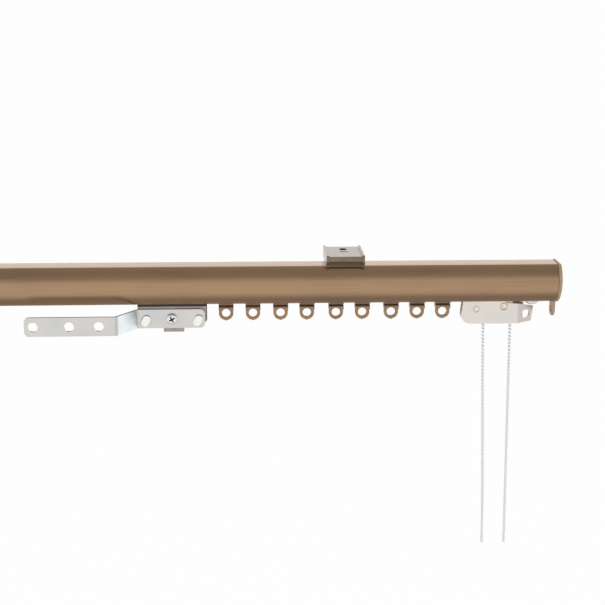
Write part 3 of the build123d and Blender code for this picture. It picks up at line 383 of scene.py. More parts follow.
@made_once
def etched_bronze_anodising(tree):
    """Extruded aluminium, etched and anodised bronze: satin metal under a clear hard skin, so it glows along the
    bow and turns pale at a grazing look. Die lines about 0.8 mm apart run along it."""
    bronze = bpy.context.scene.track_rail.bronze
    lines = stretched(tree, 1200.0, 2.0, (0.004, 1, 1))  # about 0.8 mm across and 200 mm long
    grain = stretched(tree, 2600.0, 2.0, (0.05, 1, 1))
    streaks = stretched(tree, 800.0, 2.0, (0.03, 1, 1))  # of the etch, about 1.3 mm wide and 40 mm long
    mottle = stretched(tree, 60.0, 2.0, (0.4, 1, 1))
    etch = add(tree, "ShaderNodeMath", {"operation": "ADD"}, {0: streaks, 1: mottle})
    drawn = add(tree, "ShaderNodeMath", {"operation": "MULTIPLY_ADD"}, {0: lines, 1: 0.5, 2: grain})
    stops = [(0.8, shade(bronze, 0.955)), (1.0, shade(bronze, 1.045))]
    colour = add(tree, "ShaderNodeValToRGB", None, {"Fac": etch}, stops)
    skin = {"Metallic": 1.0, "Coat Weight": 0.5, "Coat Roughness": 0.22}
    surface(tree, colour, (lines, 0.30, 0.40), (drawn, 0.011 * MM), skin)


@made_once
def bronze_moulded_plastic(tree):
    """ABS end cap, injection moulded in bronze: slightly glossy with a faint spark texture of about 0.5 mm."""
    brown = bpy.context.scene.track_rail.cap_brown
    spark = stretched(tree, 2200.0, 3.0)
    cloud = stretched(tree, 120.0, 2.0)
    stops = [(0.35, shade(brown, 0.94)), (0.65, shade(brown, 1.05))]
    colour = add(tree, "ShaderNodeValToRGB", None, {"Fac": cloud}, stops)
    surface(tree, colour, (spark, 0.36, 0.48), (spark, 0.012 * MM))


@made_once
def bronze_lacquered(tree, kind):
    """Pressed steel bracket under a thin bronze lacquer, pale at a grazing look: a fine orange-peel of about 0.9 mm. On
    the plate, shade is painted dark into the lower half of the front wall, and a painted highlight runs along its foot.
    In the corner against a flange, painted shade makes it dark all over."""
    lacquer = shade(bpy.context.scene.track_rail.lacquer, {"plate": 1.0, "corner": 0.35}[kind])
    peel = stretched(tree, 1100.0, 3.0)
    wear = stretched(tree, 260.0, 4.0)
    place = place_of(tree)
    wall = add(tree, "ShaderNodeMapRange", EASED, ends_of((place, "Y"), (-17.8 * MM, 1.0), (-17.2 * MM, 0.0)))
    stops = [(0.35, shade(lacquer, 0.82)), (0.65, shade(lacquer, 1.12))]
    colour = add(tree, "ShaderNodeValToRGB", None, {"Fac": wear}, stops)
    # painted shade on the lower half of the front wall (thick), and a painted highlight along its foot
    thick = (-6.55 * MM, -3.6 * MM, 0.15 * MM), tinted(lacquer, 0.33, 0.25, 0.18)
    painted_highlight = (-8.0 * MM, -6.6 * MM, 0.1 * MM), shade(lacquer, 1.5)
    for band, tone in (thick, painted_highlight):
        height = between(tree, (place, "Z"), *band)
        share = add(tree, "ShaderNodeMath", {"operation": "MULTIPLY"}, {0: height, 1: wall})
        colour = (add(tree, "ShaderNodeMix", COLOURS, {0: share, 6: colour, 7: (*tone, 1)}), 2)
    skin = {"Metallic": 0.9, "Coat Weight": 0.85, "Coat Roughness": 0.22}
    surface(tree, colour, (wear, 0.28, 0.42), (peel, 0.02 * MM), skin)


@made_once
def bright_zinc(tree, kind):
    """Strip steel, bright zinc plated: soft mirror with fine rolling lines along X and cloudy patches, warm and cool,
    of the passivation. The flat sheet is the warmest, and past the fold of its tab it is painted darker as shade. The
    arms' strip is cooler and a little darker. A screw is painted brighter as a highlight, and near black as shade down
    in its recess, by the attribute sunk."""
    bath = {"sheet": (1.07, 1.07, 1.09), "strip": (0.89, 0.93, 0.99), "screw": (1.0, 1.0, 1.0)}[kind]
    zinc = tinted(bpy.context.scene.track_metal.zinc, *bath)
    lines = stretched(tree, 1500.0, 3.0, (0.03, 1, 1))  # rolling lines about 0.7 mm apart
    cloud = stretched(tree, 60.0, 1.0)  # patches of about 17 mm
    if kind == "screw":
        sunk = add(tree, "ShaderNodeAttribute", {"attribute_name": "sunk"})
        # the screw is painted brighter as a highlight, and near black as shade down in its recess
        highlit_zinc, sunk_shade = (*tinted(zinc, 1.12, 1.18, 1.24), 1), (*shade(zinc, 0.07), 1)
        colour = (add(tree, "ShaderNodeMix", COLOURS, {0: (sunk, "Fac"), 6: highlit_zinc, 7: sunk_shade}), 2)
    else:
        stops = [(0.38, tinted(zinc, 1.0, 0.985, 0.96)), (0.66, tinted(zinc, 0.92, 0.955, 0.965))]
        colour = add(tree, "ShaderNodeValToRGB", None, {"Fac": cloud}, stops)
    if kind == "sheet":
        # past the fold the tab is painted darker as shade (dull)
        place, dull = place_of(tree), (*tinted(zinc, 0.87, 0.82, 0.82), 1)
        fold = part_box("pulley_cheek_front")[1].x - 12.4 * MM  # where the tab bends back from the cheek
        bend = ends_of((place, "X"), (fold - 0.1 * MM, 0.0), (fold + 0.4 * MM, 1.0))
        tab = add(tree, "ShaderNodeMapRange", EASED, bend)
        colour = (add(tree, "ShaderNodeMix", COLOURS, {0: tab, 6: colour, 7: dull}), 2)
    surface(tree, colour, (cloud, 0.22, 0.34), (lines, 0.004 * MM), {"Metallic": 1.0})


@made_once
def burnished_zinc(tree):
    """Zinc plate of the pressed lugs, smoother where the press tool worked it, with rub marks about 0.6 mm apart; its
    colour is painted brighter, up to white, as a highlight.
    """
    zinc = bpy.context.scene.track_metal.zinc
    rub = stretched(tree, 1800.0, 2.0, (1, 1, 0.2))
    stops = [(0.35, tinted(zinc, 1.17, 1.22, 1.28)), (0.65, tinted(zinc, 1.26, 1.30, 1.36))]
    colour = add(tree, "ShaderNodeValToRGB", None, {"Fac": rub}, stops)
    surface(tree, colour, (rub, 0.16, 0.26), (rub, 0.003 * MM), {"Metallic": 1.0})


@made_once
def sheared_steel_edge(tree):
    """Edge of plated strip as the shear left it, dull and torn in lines about 0.4 mm apart. Its colour is painted dark
    brown-grey as shade."""
    zinc = bpy.context.scene.track_metal.zinc
    torn = stretched(tree, 2600.0, 3.0, (1, 0.2, 0.2))
    stops = [(0.35, tinted(zinc, 0.060, 0.054, 0.045)), (0.65, tinted(zinc, 0.13, 0.115, 0.10))]
    colour = add(tree, "ShaderNodeValToRGB", None, {"Fac": torn}, stops)
    surface(tree, colour, (torn, 0.45, 0.65), (torn, 0.03 * MM), {"Metallic": 0.8})


@made_once
def raw_zinc_casting(tree):
    """Raw pressure die casting: dull warm grey metal, its skin lightly grained at about 0.6 mm. Painted shade makes it
    near black along its top, where it runs under the rail, and dark at its outer end."""
    grey = bpy.context.scene.track_metal.casting
    skin = stretched(tree, 1600.0, 4.0)
    flow = stretched(tree, 140.0, 3.0)
    stops = [(0.35, shade(grey, 0.88)), (0.65, shade(grey, 1.08))]
    colour = add(tree, "ShaderNodeValToRGB", None, {"Fac": flow}, stops)
    place = place_of(tree)
    along = add(tree, "ShaderNodeMath", {"operation": "ABSOLUTE"}, {0: (place, "X")})
    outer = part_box("master_right_casting")[1].x
    # painted shade: near black along the top under the rail, and dark at the outer end
    top = between(tree, (place, "Z"), -36.35 * MM, -30.0 * MM, 0.12 * MM)
    end = add(tree, "ShaderNodeMapRange", EASED, ends_of(along, (outer - 0.9 * MM, 0.0), (outer - 0.5 * MM, 0.75)))
    painted_shade = add(tree, "ShaderNodeMath", {"operation": "MAXIMUM"}, {0: top, 1: end})
    colour = (add(tree, "ShaderNodeMix", COLOURS, {0: painted_shade, 6: colour, 7: (*shade(grey, 0.10), 1)}), 2)
    surface(tree, colour, (skin, 0.42, 0.58), (skin, 0.02 * MM), {"Metallic": 0.75})


@made_once
def natural_nylon(tree):
    """Unfilled nylon, injection moulded: milky white with a soft gloss."""
    white = bpy.context.scene.track_plastic.nylon
    skin = stretched(tree, 900.0, 3.0)
    cloud = stretched(tree, 150.0, 2.0)
    stops = [(0.35, shade(white, 0.95)), (0.65, shade(white, 1.02))]
    colour = add(tree, "ShaderNodeValToRGB", None, {"Fac": cloud}, stops)
    surface(tree, colour, (skin, 0.34, 0.46), (skin, 0.01 * MM))


@made_once
def brown_moulded_acetal(tree):
    """Acetal gliders, injection moulded in brown: waxy gloss, with flow marks of a few millimetres. Shade is painted
    dark into the recess under the flange, and half as strong on the flange itself, under the rail."""
    brown = bpy.context.scene.track_plastic.glider_brown
    flow = stretched(tree, 420.0, 3.0)
    skin = stretched(tree, 2400.0, 2.0)
    stops = [(0.35, shade(brown, 0.88)), (0.65, shade(brown, 1.12))]
    colour = add(tree, "ShaderNodeValToRGB", None, {"Fac": flow}, stops)
    place = place_of(tree)
    # painted shade: dark in the recess under the flange, half as dark on the flange under the rail
    recess = between(tree, (place, "Z"), -37.35 * MM, -35.2 * MM, 0.3 * MM)
    flange = add(tree, "ShaderNodeMapRange", EASED, ends_of((place, "Z"), (-35.5 * MM, 0.0), (-35.1 * MM, 0.5)))
    painted_recess_shade = add(tree, "ShaderNodeMath", {"operation": "MAXIMUM"}, {0: recess, 1: flange})
    colour = (add(tree, "ShaderNodeMix", COLOURS, {0: painted_recess_shade, 6: colour, 7: (*tinted(brown, 0.34, 0.28, 0.23), 1)}), 2)
    surface(tree, colour, (skin, 0.30, 0.42), (skin, 0.01 * MM))


@made_once
def braided_polyester_cord(tree):
    """Braided polyester cord: matt white strands with one blue-grey tracer, and fibre ends that glow white along its
    sides. The UV map runs once round the cord and once per braid pitch along it. The real strands are near 0.4 mm
    wide and their pitch is near 1.7 mm; both are drawn half as coarse again to show."""
    cord = bpy.context.scene.track_cord
    coords = add(tree, "ShaderNodeTexCoord")
    split = add(tree, "ShaderNodeSeparateXYZ", None, {"Vector": (coords, "UV")})
    sloped = add(tree, "ShaderNodeMath", {"operation": "ADD"}, {0: (split, "X"), 1: (split, "Y")})
    turn = add(tree, "ShaderNodeMath", {"operation": "FRACT"}, {0: sloped})
    stops = [(0.19, cord.fleck), (0.25, cord.white)]
    fleck = add(tree, "ShaderNodeValToRGB", None, {"Fac": turn}, stops)
    fibre = stretched(tree, 5000.0, 2.0)
    multiplied = {"data_type": "RGBA", "blend_type": "MULTIPLY"}
    dusted = add(tree, "ShaderNodeMix", multiplied, {0: 0.05, 6: fleck, 7: (fibre, "Color")})
    surface(tree, (dusted, 2), 0.78, (fibre, 0.03 * MM), {"Sheen Weight": 0.8, "Sheen Roughness": 0.35})


@made_once
def plain_braided_polyester(tree):
    """The same braided polyester where it lies in the rail, its strands drawn by Object coordinates, about 1.2 mm
    apart."""
    white = bpy.context.scene.track_cord.white
    coords = add(tree, "ShaderNodeTexCoord")
    drawn = {"Vector": (coords, "Object"), "Scale": 300.0, "Distortion": 1.0}
    strands = (add(tree, "ShaderNodeTexWave", {"bands_direction": "DIAGONAL"}, drawn), "Fac")
    stops = [(0.1, shade(white, 0.72)), (0.5, white)]
    colour = add(tree, "ShaderNodeValToRGB", None, {"Fac": strands}, stops)
    surface(tree, colour, 0.78, (strands, 0.08 * MM))


# ---------------------------------------------------------------- pieces

ALONG, AWAY, DOWN = (1, 0, 0), (0, 1, 0), (0, 0, -1)
CORD_LINE_Y = -12.0 * MM
# Centre line of each free fall as X and Z in millimetres, with the given points that follow the photograph
FALLS = {
    "near": [(349.84, -40.64), (350.15, -47.4), (352.1, -92.0), (355.2, -150.0), (357.5, -199.0), (358.22, -223.6)],
    "far": [(369.28, -38.83), (369.54, -47.4), (370.8, -92.0), (372.6, -150.0), (374.15, -199.0), (374.82, -223.6)],
}


def arc_points(centre_y, centre_z, radius, z_from, z_to, count):
    """Points of the bowed front, y = centre - sqrt(r^2 - (z - zc)^2) on the side of the room, from one z to another."""
    a = np.linspace(math.asin((z_from - centre_z) / radius), math.asin((z_to - centre_z) / radius), count)
    return np.stack([centre_y - radius * np.cos(a), centre_z + radius * np.sin(a)], 1)


def corner(before, here, after, radius, steps=6):
    """Arc of the circle of a radius that touches both sides of a corner, as steps points from one side to the other."""
    before, here, after = (np.asarray(p, float) for p in (before, here, after))
    u = (before - here) / np.linalg.norm(before - here)
    v = (after - here) / np.linalg.norm(after - here)
    half = 0.5 * math.acos(np.clip(u @ v, -1, 1))
    middle = here + (u + v) / np.linalg.norm(u + v) * radius / math.sin(half)
    start, end = here + u * radius / math.tan(half) - middle, here + v * radius / math.tan(half) - middle
    a0 = math.atan2(start[1], start[0])
    turn = (math.atan2(end[1], end[0]) - a0 + math.pi) % (2 * math.pi) - math.pi
    a = a0 + turn * np.linspace(0, 1, steps)
    return middle + radius * np.stack([np.cos(a), np.sin(a)], 1)


def rail_section():
    """Closed outline of the rail's section in the YZ plane: flat top and back, bowed front, slot and back groove."""
    low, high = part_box("rail")
    settings = bpy.context.scene.track_rail
    bow, edge = settings.bow, settings.edge_round
    front, back, top, bottom = low.y + bow, high.y, high.z, low.z
    middle, height = (top + bottom) / 2, top - bottom
    radius = (height**2 / 4 + bow**2) / (2 * bow)
    centre = front - bow + radius
    wall, floor, slot_y, slot, lip_edge = 1.1 * MM, 1.3 * MM, (front + back) / 2, 3.0 * MM, 0.12 * MM
    groove_top, groove_low, groove = top - 4.2 * MM, top - 7.2 * MM, 1.2 * MM
    thick, short = groove + 1.1 * MM, 0.55 * MM  # short is how far the bow stops from the rail's top and bottom
    lip, roof, step = bottom + floor, top - wall, groove_low - wall
    outer = arc_points(centre, middle, radius, bottom + short, top - short, 60)
    inner = arc_points(centre, middle, radius - wall, roof, lip, 48)
    near_slot, far_slot = (slot_y - slot, bottom), (slot_y + slot, bottom)
    near_lip, far_lip = (slot_y - slot, lip), (slot_y + slot, lip)
    runs = [
        corner(near_lip, near_slot, (front, bottom), lip_edge),
        corner(near_slot, (front, bottom), outer[0], edge),
        outer,
        corner(outer[-1], (front, top), (back, top), edge),
        corner((front, top), (back, top), (back, groove_top), edge),
        corner((back, top), (back, groove_top), (back - groove, groove_top), lip_edge),
        [(back - groove, groove_top), (back - groove, groove_low)],
        corner((back - groove, groove_low), (back, groove_low), (back, bottom), lip_edge),
        corner((back, groove_low), (back, bottom), far_slot, edge),
        corner((back, bottom), far_slot, far_lip, lip_edge),
        corner(far_slot, far_lip, (back - wall, lip), lip_edge),
        [(back - wall, lip), (back - wall, step), (back - thick, step), (back - thick, roof)],
        inner,
        corner(inner[-1], near_lip, near_slot, lip_edge),
    ]
    return np.concatenate(runs)


def make_rail():
    """Rail: its section carried along X from end to end, the two ends closed flat."""
    low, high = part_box("rail")
    section = rail_section()
    n = len(section)
    ends = [np.column_stack([np.full(n, x), section]) for x in (low.x, high.x)]
    faces = grid_faces(2, n).tolist() + [list(range(n)), list(range(2 * n - 1, n - 1, -1))]
    mesh = outward(mesh_of("rail_extrusion", np.vstack(ends), faces))
    new_piece("rail_extrusion", mesh, "track", etched_bronze_anodising(), "rail", 24.0)


def make_end_caps():
    """End caps with their hook eye: the CAD form with moulded rounds on every edge."""
    for side in SIDES:
        softened(f"end_cap_{side}", bronze_moulded_plastic(), 0.22 * MM)


def make_brackets():
    """Ceiling brackets: plate and jaw with pressed edges, and the clamp screw with its domed head below."""
    for side in SIDES:
        low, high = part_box(f"bracket_{side}_body")
        flange = (low.x + high.x) / 2 + 10 * MM  # past here a face that looks to the left is the right flange's
        for part in ("body", "jaw"):
            plate = softened(f"bracket_{side}_{part}", bronze_lacquered("plate"), 0.3 * MM)
            # the right flange's inner face gets the lacquer darkened as painted shade
            finish_where(
                plate,
                bronze_lacquered("corner"),
                lambda centres, normals: (normals[:, 0] < -0.9) & (centres[:, 0] > flange),
            )
        make_screw(f"bracket_{side}_screw", DOWN, ALONG, "track", 3.0 * MM, 1.8 * MM)


def make_screw(node, out, across, body, shaft, head_height):
    """Screw on the axis through the middle of its CAD node: a pan head towards out and a plain shaft behind it."""
    low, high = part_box(node)
    out = np.asarray(out, float)
    middle = (np.array(low) + np.array(high)) / 2
    size = np.array(high) - np.array(low)
    along = abs(out) @ size
    head_radius = (size.sum() - along) / 4
    seat = middle + out * (along / 2 - head_height)
    head = pan_head(node + "_head", seat, out, across, head_radius, head_height)
    length, radius, point = along - head_height, shaft / 2, 0.4 * MM
    profile = [(radius, 0), (radius, -length + point), (radius - point, -length)]
    poles = np.array([seat, seat - out * length])
    shank = ringed(node + "_shank", turned(profile, seat, out, across, 32), poles)
    new_piece(node + "_head", head, body, bright_zinc("screw"), node, 40.0)
    new_piece(node + "_shank", shank, body, bright_zinc("screw"), node)


def make_pulley_housing():
    """Right-hand pulley: two plated cheeks, two riveted axles, two nylon wheels and the clamp screw below."""
    for cheek in ("front", "back"):
        softened(f"pulley_cheek_{cheek}", bright_zinc("sheet"), 0.25 * MM)
    for place in ("near", "far"):
        make_rivet(f"pulley_axle_{place}")
        make_wheel(f"pulley_wheel_{place}", f"wheel_{place}_body")
    make_screw("pulley_clamp_screw", DOWN, ALONG, "track", 4.0 * MM, 2.2 * MM)


def round_size(node):
    """Middle of a round CAD node whose axis runs along Y, half its length and its largest radius."""
    low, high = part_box(node)
    return (np.array(low) + np.array(high)) / 2, (high.y - low.y) / 2, (high.x - low.x) / 2


def make_rivet(node):
    """Axle riveted over at both ends, a turned pin: its front head is a flat disc sunk in the cheek's seat, its rim
    rounded over, with a spread collar round it where the seat is wide, and its back head is a low crown of radius
    R * cos(a)^0.5 at height H * sin(a)."""
    middle, half, radius = round_size(node)
    head, sunk, pin = 0.8 * MM, 0.6 * MM, 1.55 * MM
    t = np.linspace(0, math.pi / 2, 10)
    crown = [(radius * math.cos(a) ** 0.5, half - head + head * math.sin(a)) for a in t[:-1]]
    rim = [(radius - 0.35 * MM * (1 - math.cos(a)), -half + 0.3 * MM * (1 - math.sin(a))) for a in t[::-1]]
    face = [(0.45 * radius, -half + 0.16 * MM), (0.62 * radius, -half + 0.02 * MM)]
    collar = []
    if node.endswith("far"):
        spread = [(0, 0.42), (0.1, 0.5), (0.62, 0.12), (0.64, 0.2), (0.3, 0.58)]  # mm out from the rim and behind it
        collar = [(radius + out * MM, -half + behind * MM) for out, behind in spread]
    profile = [*face, *rim, *collar, (radius, -half + sunk), (pin, -half + sunk), (pin, half - head)]
    profile += [(radius * 0.96, half - head), *crown]
    rings = turned(profile, middle, AWAY, ALONG, 40)
    poles = np.array([middle - [0, half - 0.18 * MM, 0], middle + [0, half, 0]])
    mesh = ringed(node + "_rivet", rings, poles)
    new_piece(mesh.name, mesh, "track", bright_zinc("sheet"), node)


def make_wheel(node, body):
    """Grooved nylon wheel: rim, groove for the cord, a web thinned on both sides, and a hub, all turned."""
    middle, half, radius = round_size(node)
    bore, cord, rim, web = 1.65 * MM, 5.6 * MM, 0.7 * MM, half - 0.6 * MM
    side = [
        (bore, half),
        (bore + 1.3 * MM, half),
        (bore + 1.5 * MM, web),
        (cord - 2.2 * MM, web),
        (cord - 1.9 * MM, half - 0.1 * MM),
        (radius - 0.2 * MM, half),
        (radius, half - 0.2 * MM),
        (radius - 0.1 * MM, half - rim),
    ]
    t = np.linspace(0, math.pi, 12)
    groove = [(cord - 1.2 * MM * math.sin(a) + 0.1 * MM, 1.25 * MM * math.cos(a)) for a in t]
    profile = side + groove + [(r, -h) for r, h in reversed(side)]
    mesh = ringed(node + "_turned", turned(profile, middle, AWAY, ALONG, 64))
    new_piece(mesh.name, mesh, body, natural_nylon(), node)


def make_rail_blocks():
    """Pieces inside the rail: the cord guide block, and the left return wheel with its block, axle, plate and screw."""
    for node in ("cord_guide_block", "return_block"):
        softened(node, natural_nylon(), 0.2 * MM)
    softened("return_clamp_plate", bright_zinc("sheet"), 0.2 * MM)
    softened("return_axle", bright_zinc("sheet"), 0.15 * MM)
    make_wheel("return_wheel", "wheel_return_body")
    make_screw("return_clamp_screw", DOWN, ALONG, "track", 4.0 * MM, 2.2 * MM)


def make_gliders():
    """Nine gliders a side: head and neck in the slot, arched yoke and ring eye, with moulded rounds."""
    for side in SIDES:
        for i in GLIDERS:
            softened(f"glider_{side}_{i}", brown_moulded_acetal(), 0.32 * MM, segments=3)


def make_carriers():
    """The two cord-drawn carriers: die casting, nylon runner and headless cord screw."""
    for side in SIDES:
        softened(f"master_{side}_casting", raw_zinc_casting(), 0.35 * MM)
        softened(f"master_{side}_shoe", natural_nylon(), 0.3 * MM)
        softened(f"master_{side}_cord_screw", bright_zinc("sheet"), 0.2 * MM)


def finish_where(piece, finish, chosen):
    """Gives a second finish to the faces of a piece that a test of their centres and normals, (n, 3) arrays, picks."""
    faces = piece.data.polygons
    index = read(faces, "material_index", kind=np.int32)
    piece.data.materials.append(finish)
    index[chosen(read(faces, "center", 3), read(faces, "normal", 3))] = len(piece.data.materials) - 1
    faces.foreach_set("material_index", index)


def round_bends(piece, low_x, high_x, radius):
    """Rounds the two bends of a joggle: the upright edges as tall as the strip between two places along X get a
    bevel of their own, ahead of the small rounds on the other edges."""
    mesh = piece.data
    points = read(mesh.vertices, "co", 3)
    pairs = points[read(mesh.edges, "vertices", 2, np.int32)]
    tall = np.abs(pairs[:, 0, 2] - pairs[:, 1, 2]) > 0.9 * np.ptp(points[:, 2])
    x = np.abs(pairs[:, :, 0]).mean(1)
    weights = (tall & (x > low_x) & (x < high_x)).astype(np.float32)
    mesh.attributes.new("bevel_weight_edge", "FLOAT", "EDGE").data.foreach_set("value", weights)
    bends = piece.modifiers.new("bends", "BEVEL")
    bends.width, bends.segments, bends.limit_method, bends.harden_normals = radius, 6, "WEIGHT", False
    piece.modifiers.move(len(piece.modifiers) - 1, 0)


def make_arms():
    """The two joggled overlap arms with sheared edges, painted dark as shade, and pressed lugs, painted bright as a
    highlight, and the screw that holds each.
    """
    joggle_start, joggle_end = 90 * MM, 112 * MM  # from the track's middle; the lugs lie past its end
    strip_face = 4.03 * MM  # from the cord's line; only the pressed lugs stand further out
    turn, bend_round = math.radians(28), 2.6 * MM  # turn is that of the screw's cross recess
    for side, sign in (("right", 1), ("left", -1)):
        arm = softened(f"master_{side}_arm", bright_zinc("strip"), 0.22 * MM)
        # the strip's top and bottom edges are painted dark as shade
        finish_where(arm, sheared_steel_edge(), lambda centres, normals: np.abs(normals[:, 2]) > 0.9)
        # the pressed lugs get zinc painted bright as a highlight
        finish_where(
            arm,
            burnished_zinc(),
            lambda centres, normals: (np.abs(centres[:, 1] - CORD_LINE_Y) > strip_face)
            & (np.abs(centres[:, 0]) > joggle_end),
        )
        round_bends(arm, joggle_start, joggle_end, bend_round)
        across = (sign * math.cos(turn), 0, math.sin(turn))
        make_screw(f"master_{side}_arm_screw", (0, -sign, 0), across, f"master_{side}", 4.0 * MM, 2.4 * MM)


def route_points(name, controls, samples):
    """Points at even lengths along a NURBS spline through the route's control points, and those lengths."""
    curve = bpy.data.curves.new(name + "_route", "CURVE")
    curve.dimensions = "3D"
    spline = curve.splines.new("NURBS")
    spline.points.add(len(controls) - 1)
    for point, (x, y, z) in zip(spline.points, controls):
        point.co = (x, y, z, 1)
    spline.order_u = 3
    spline.use_endpoint_u = True
    spline.resolution_u = 24
    holder = bpy.data.objects.new(name + "_route", curve)
    bpy.context.scene.collection.objects.link(holder)
    line = bpy.data.meshes.new_from_object(holder)
    points = read(line.vertices, "co", 3)
    bpy.data.objects.remove(holder)
    bpy.data.curves.remove(curve)
    bpy.data.meshes.remove(line)
    run = np.concatenate([[0], np.cumsum(np.linalg.norm(np.diff(points, axis=0), axis=1))])
    s = np.linspace(0, run[-1], samples)
    return np.stack([np.interp(s, run, points[:, k]) for k in range(3)], 1), s


def make_falls():
    """The two free falls of the cord. The tube's radius is R - d * (1 - max(|sin|, |sin|)) of two opposed helices,
    which raises the diamonds of the braid, and it narrows to a rounded end."""
    settings = bpy.context.scene.track_cord
    radius, pitch = settings.diameter / 2, settings.braid_pitch
    ridge_height, end_length, end_share = 0.1 * MM, 0.8 * MM, 0.35  # end_share is that of the section at the tip
    samples, sides = 900, 24
    a = np.linspace(0, 2 * math.pi, sides, endpoint=False)
    for name, controls in FALLS.items():
        controls = [(x * MM, CORD_LINE_Y, z * MM) for x, z in controls]
        points, s = route_points(name, controls, samples)
        along = np.gradient(points, axis=0)
        along /= np.linalg.norm(along, axis=1)[:, None]
        beside = np.tile([0.0, 1.0, 0.0], (len(points), 1))
        third = np.cross(along, beside)
        phase = math.pi * s[:, None] / pitch
        ridge = np.maximum(np.abs(np.sin(2 * a + phase)), np.abs(np.sin(2 * a - phase)))
        end = np.clip((s[-1] - s) / end_length, 0, 1)
        r = (radius - ridge_height * (1 - ridge)) * np.sqrt(end_share + (1 - end_share) * end)[:, None]
        around = (r * np.cos(a))[..., None] * beside[:, None] + (r * np.sin(a))[..., None] * third[:, None]
        mesh = ringed(f"cord_fall_{name}_braid", points[:, None] + around, np.array([points[0], points[-1]]))
        cord_uv(mesh, points, s, third, pitch)
        finish = braided_polyester_cord()
        piece = new_piece(mesh.name, mesh, "track", finish, f"cord_fall_{name}", 180.0)


def cord_uv(mesh, points, s, third, pitch):
    """UV map of a cord: u is the angle round it over a full turn, v the length along it over the braid pitch. A face
    across the seam has its low u raised by a turn."""
    co = read(mesh.vertices, "co", 3)
    row = np.clip(np.searchsorted(-points[:, 2], -co[:, 2]), 0, len(points) - 1)
    away = co - points[row]
    u = np.arctan2((away * third[row]).sum(1), away[:, 1]) / (2 * math.pi) % 1.0
    uv = np.stack([u, s[row] / pitch], 1)[read(mesh.loops, "vertex_index", kind=np.int32)]
    totals = read(mesh.polygons, "loop_total", kind=np.int32)
    face = np.repeat(np.arange(len(totals)), totals)
    low, high = np.full(len(totals), 2.0), np.full(len(totals), -1.0)
    np.minimum.at(low, face, uv[:, 0])
    np.maximum.at(high, face, uv[:, 0])
    uv[((high - low)[face] > 0.5) & (uv[:, 0] < 0.5), 0] += 1.0
    mesh.uv_layers.new(name="UVMap").data.foreach_set("uv", uv.astype(np.float32).ravel())


def make_cord_loop():
    """The closed part of the cord, held along the rail: the CAD tube with a plain white braid finish."""
    holder = frame["nodes"]["cord_loop"]
    holder.data.materials.clear()
    holder.data.materials.append(plain_braided_polyester())


# ---------------------------------------------------------------- stage


def make_camera():
    """Camera where the photograph was taken from: pitch 16.5 degrees down, yaw 3.8 and roll 0.5 degrees."""
    place, pitch, yaw, roll = (0.1695, -0.8112, 0.2026), 0.28843, -0.066, -0.00954
    right = Vector((math.cos(yaw), math.sin(yaw), 0))
    ahead = Vector((-math.sin(yaw) * math.cos(pitch), math.cos(yaw) * math.cos(pitch), -math.sin(pitch)))
    up = right.cross(ahead)
    tilted_right = right * math.cos(roll) - up * math.sin(roll)
    tilted_up = right * math.sin(roll) + up * math.cos(roll)
    camera = bpy.data.objects.new("camera", bpy.data.cameras.new("camera"))
    camera.data.sensor_width = 36.0
    camera.data.lens = bpy.context.scene.track_stage.lens
    camera.data.clip_start, camera.data.clip_end = 0.01, 50.0
    axes = Matrix((tilted_right, tilted_up, -ahead)).transposed().to_4x4()
    camera.matrix_world = Matrix.Translation(place) @ axes
    bpy.context.scene.collection.objects.link(camera)
    bpy.context.scene.camera = camera


def seen_as(tree, shader, kind, mirrored, output, keep=0.0):
    """The camera sees plain white of strength 1 with keep of the shader left for shadows, metal sees a white of the
    mirrored strength, and every other ray meets the shader itself. kind is the node that glows white."""
    path = add(tree, "ShaderNodeLightPath")
    direct = {0: (path, "Is Camera Ray"), 1: (path, "Is Transmission Ray")}
    seen = add(tree, "ShaderNodeMath", {"operation": "MAXIMUM"}, direct)
    share = add(tree, "ShaderNodeMath", {"operation": "MULTIPLY"}, {0: seen, 1: 1.0 - keep})
    white, gloss = (add(tree, kind, None, {"Color": (1, 1, 1, 1), "Strength": s}) for s in (1.0, mirrored))
    first = add(tree, "ShaderNodeMixShader", None, {"Fac": (path, "Is Glossy Ray"), 1: shader, 2: gloss})
    last = add(tree, "ShaderNodeMixShader", None, {"Fac": share, 1: first, 2: white})
    add(tree, output, None, {"Surface": last})


def lamp(name, place, aim, size, power, colour=(1, 1, 1), mirrored=False):
    """Soft lamp of a width and height at a place, turned to face a point. Only a mirrored one shows in metal."""
    light = bpy.data.lights.new(name, "AREA")
    light.shape, light.energy, light.color = "RECTANGLE", power, colour
    light.size, light.size_y = size
    holder = bpy.data.objects.new(name, light)
    holder.location = place
    holder.rotation_euler = (Vector(aim) - Vector(place)).to_track_quat("-Z", "Y").to_euler()
    holder.visible_camera = False
    holder.visible_glossy = mirrored
    bpy.context.scene.collection.objects.link(holder)


def make_surroundings():
    """Plain sky. Metal mirrors it white near the horizon and all the way up behind, and dim in front from 12 to 32
    degrees up, as in a white tent that is open above the camera."""
    stage = bpy.context.scene.track_stage
    world = bpy.data.worlds.new("white_surroundings")
    bpy.context.scene.world = world
    world.use_nodes = True
    tree = world.node_tree
    tree.nodes.clear()
    sky = add(tree, "ShaderNodeBackground", None, {"Color": (1, 1, 1, 1), "Strength": stage.world})
    way = place_of(tree)
    front = add(tree, "ShaderNodeMapRange", EASED, ends_of((way, "Z"), (0.20, 1.0), (0.53, stage.mirror_low)))
    behind = add(tree, "ShaderNodeMapRange", EASED, ends_of((way, "Y"), (-0.1, 0.0), (0.3, 1.0)))
    dims = add(tree, "ShaderNodeMix", {"data_type": "FLOAT"}, {0: behind, 2: front, 3: 1.0})
    seen_as(tree, sky, "ShaderNodeBackground", dims, "ShaderNodeOutputWorld")


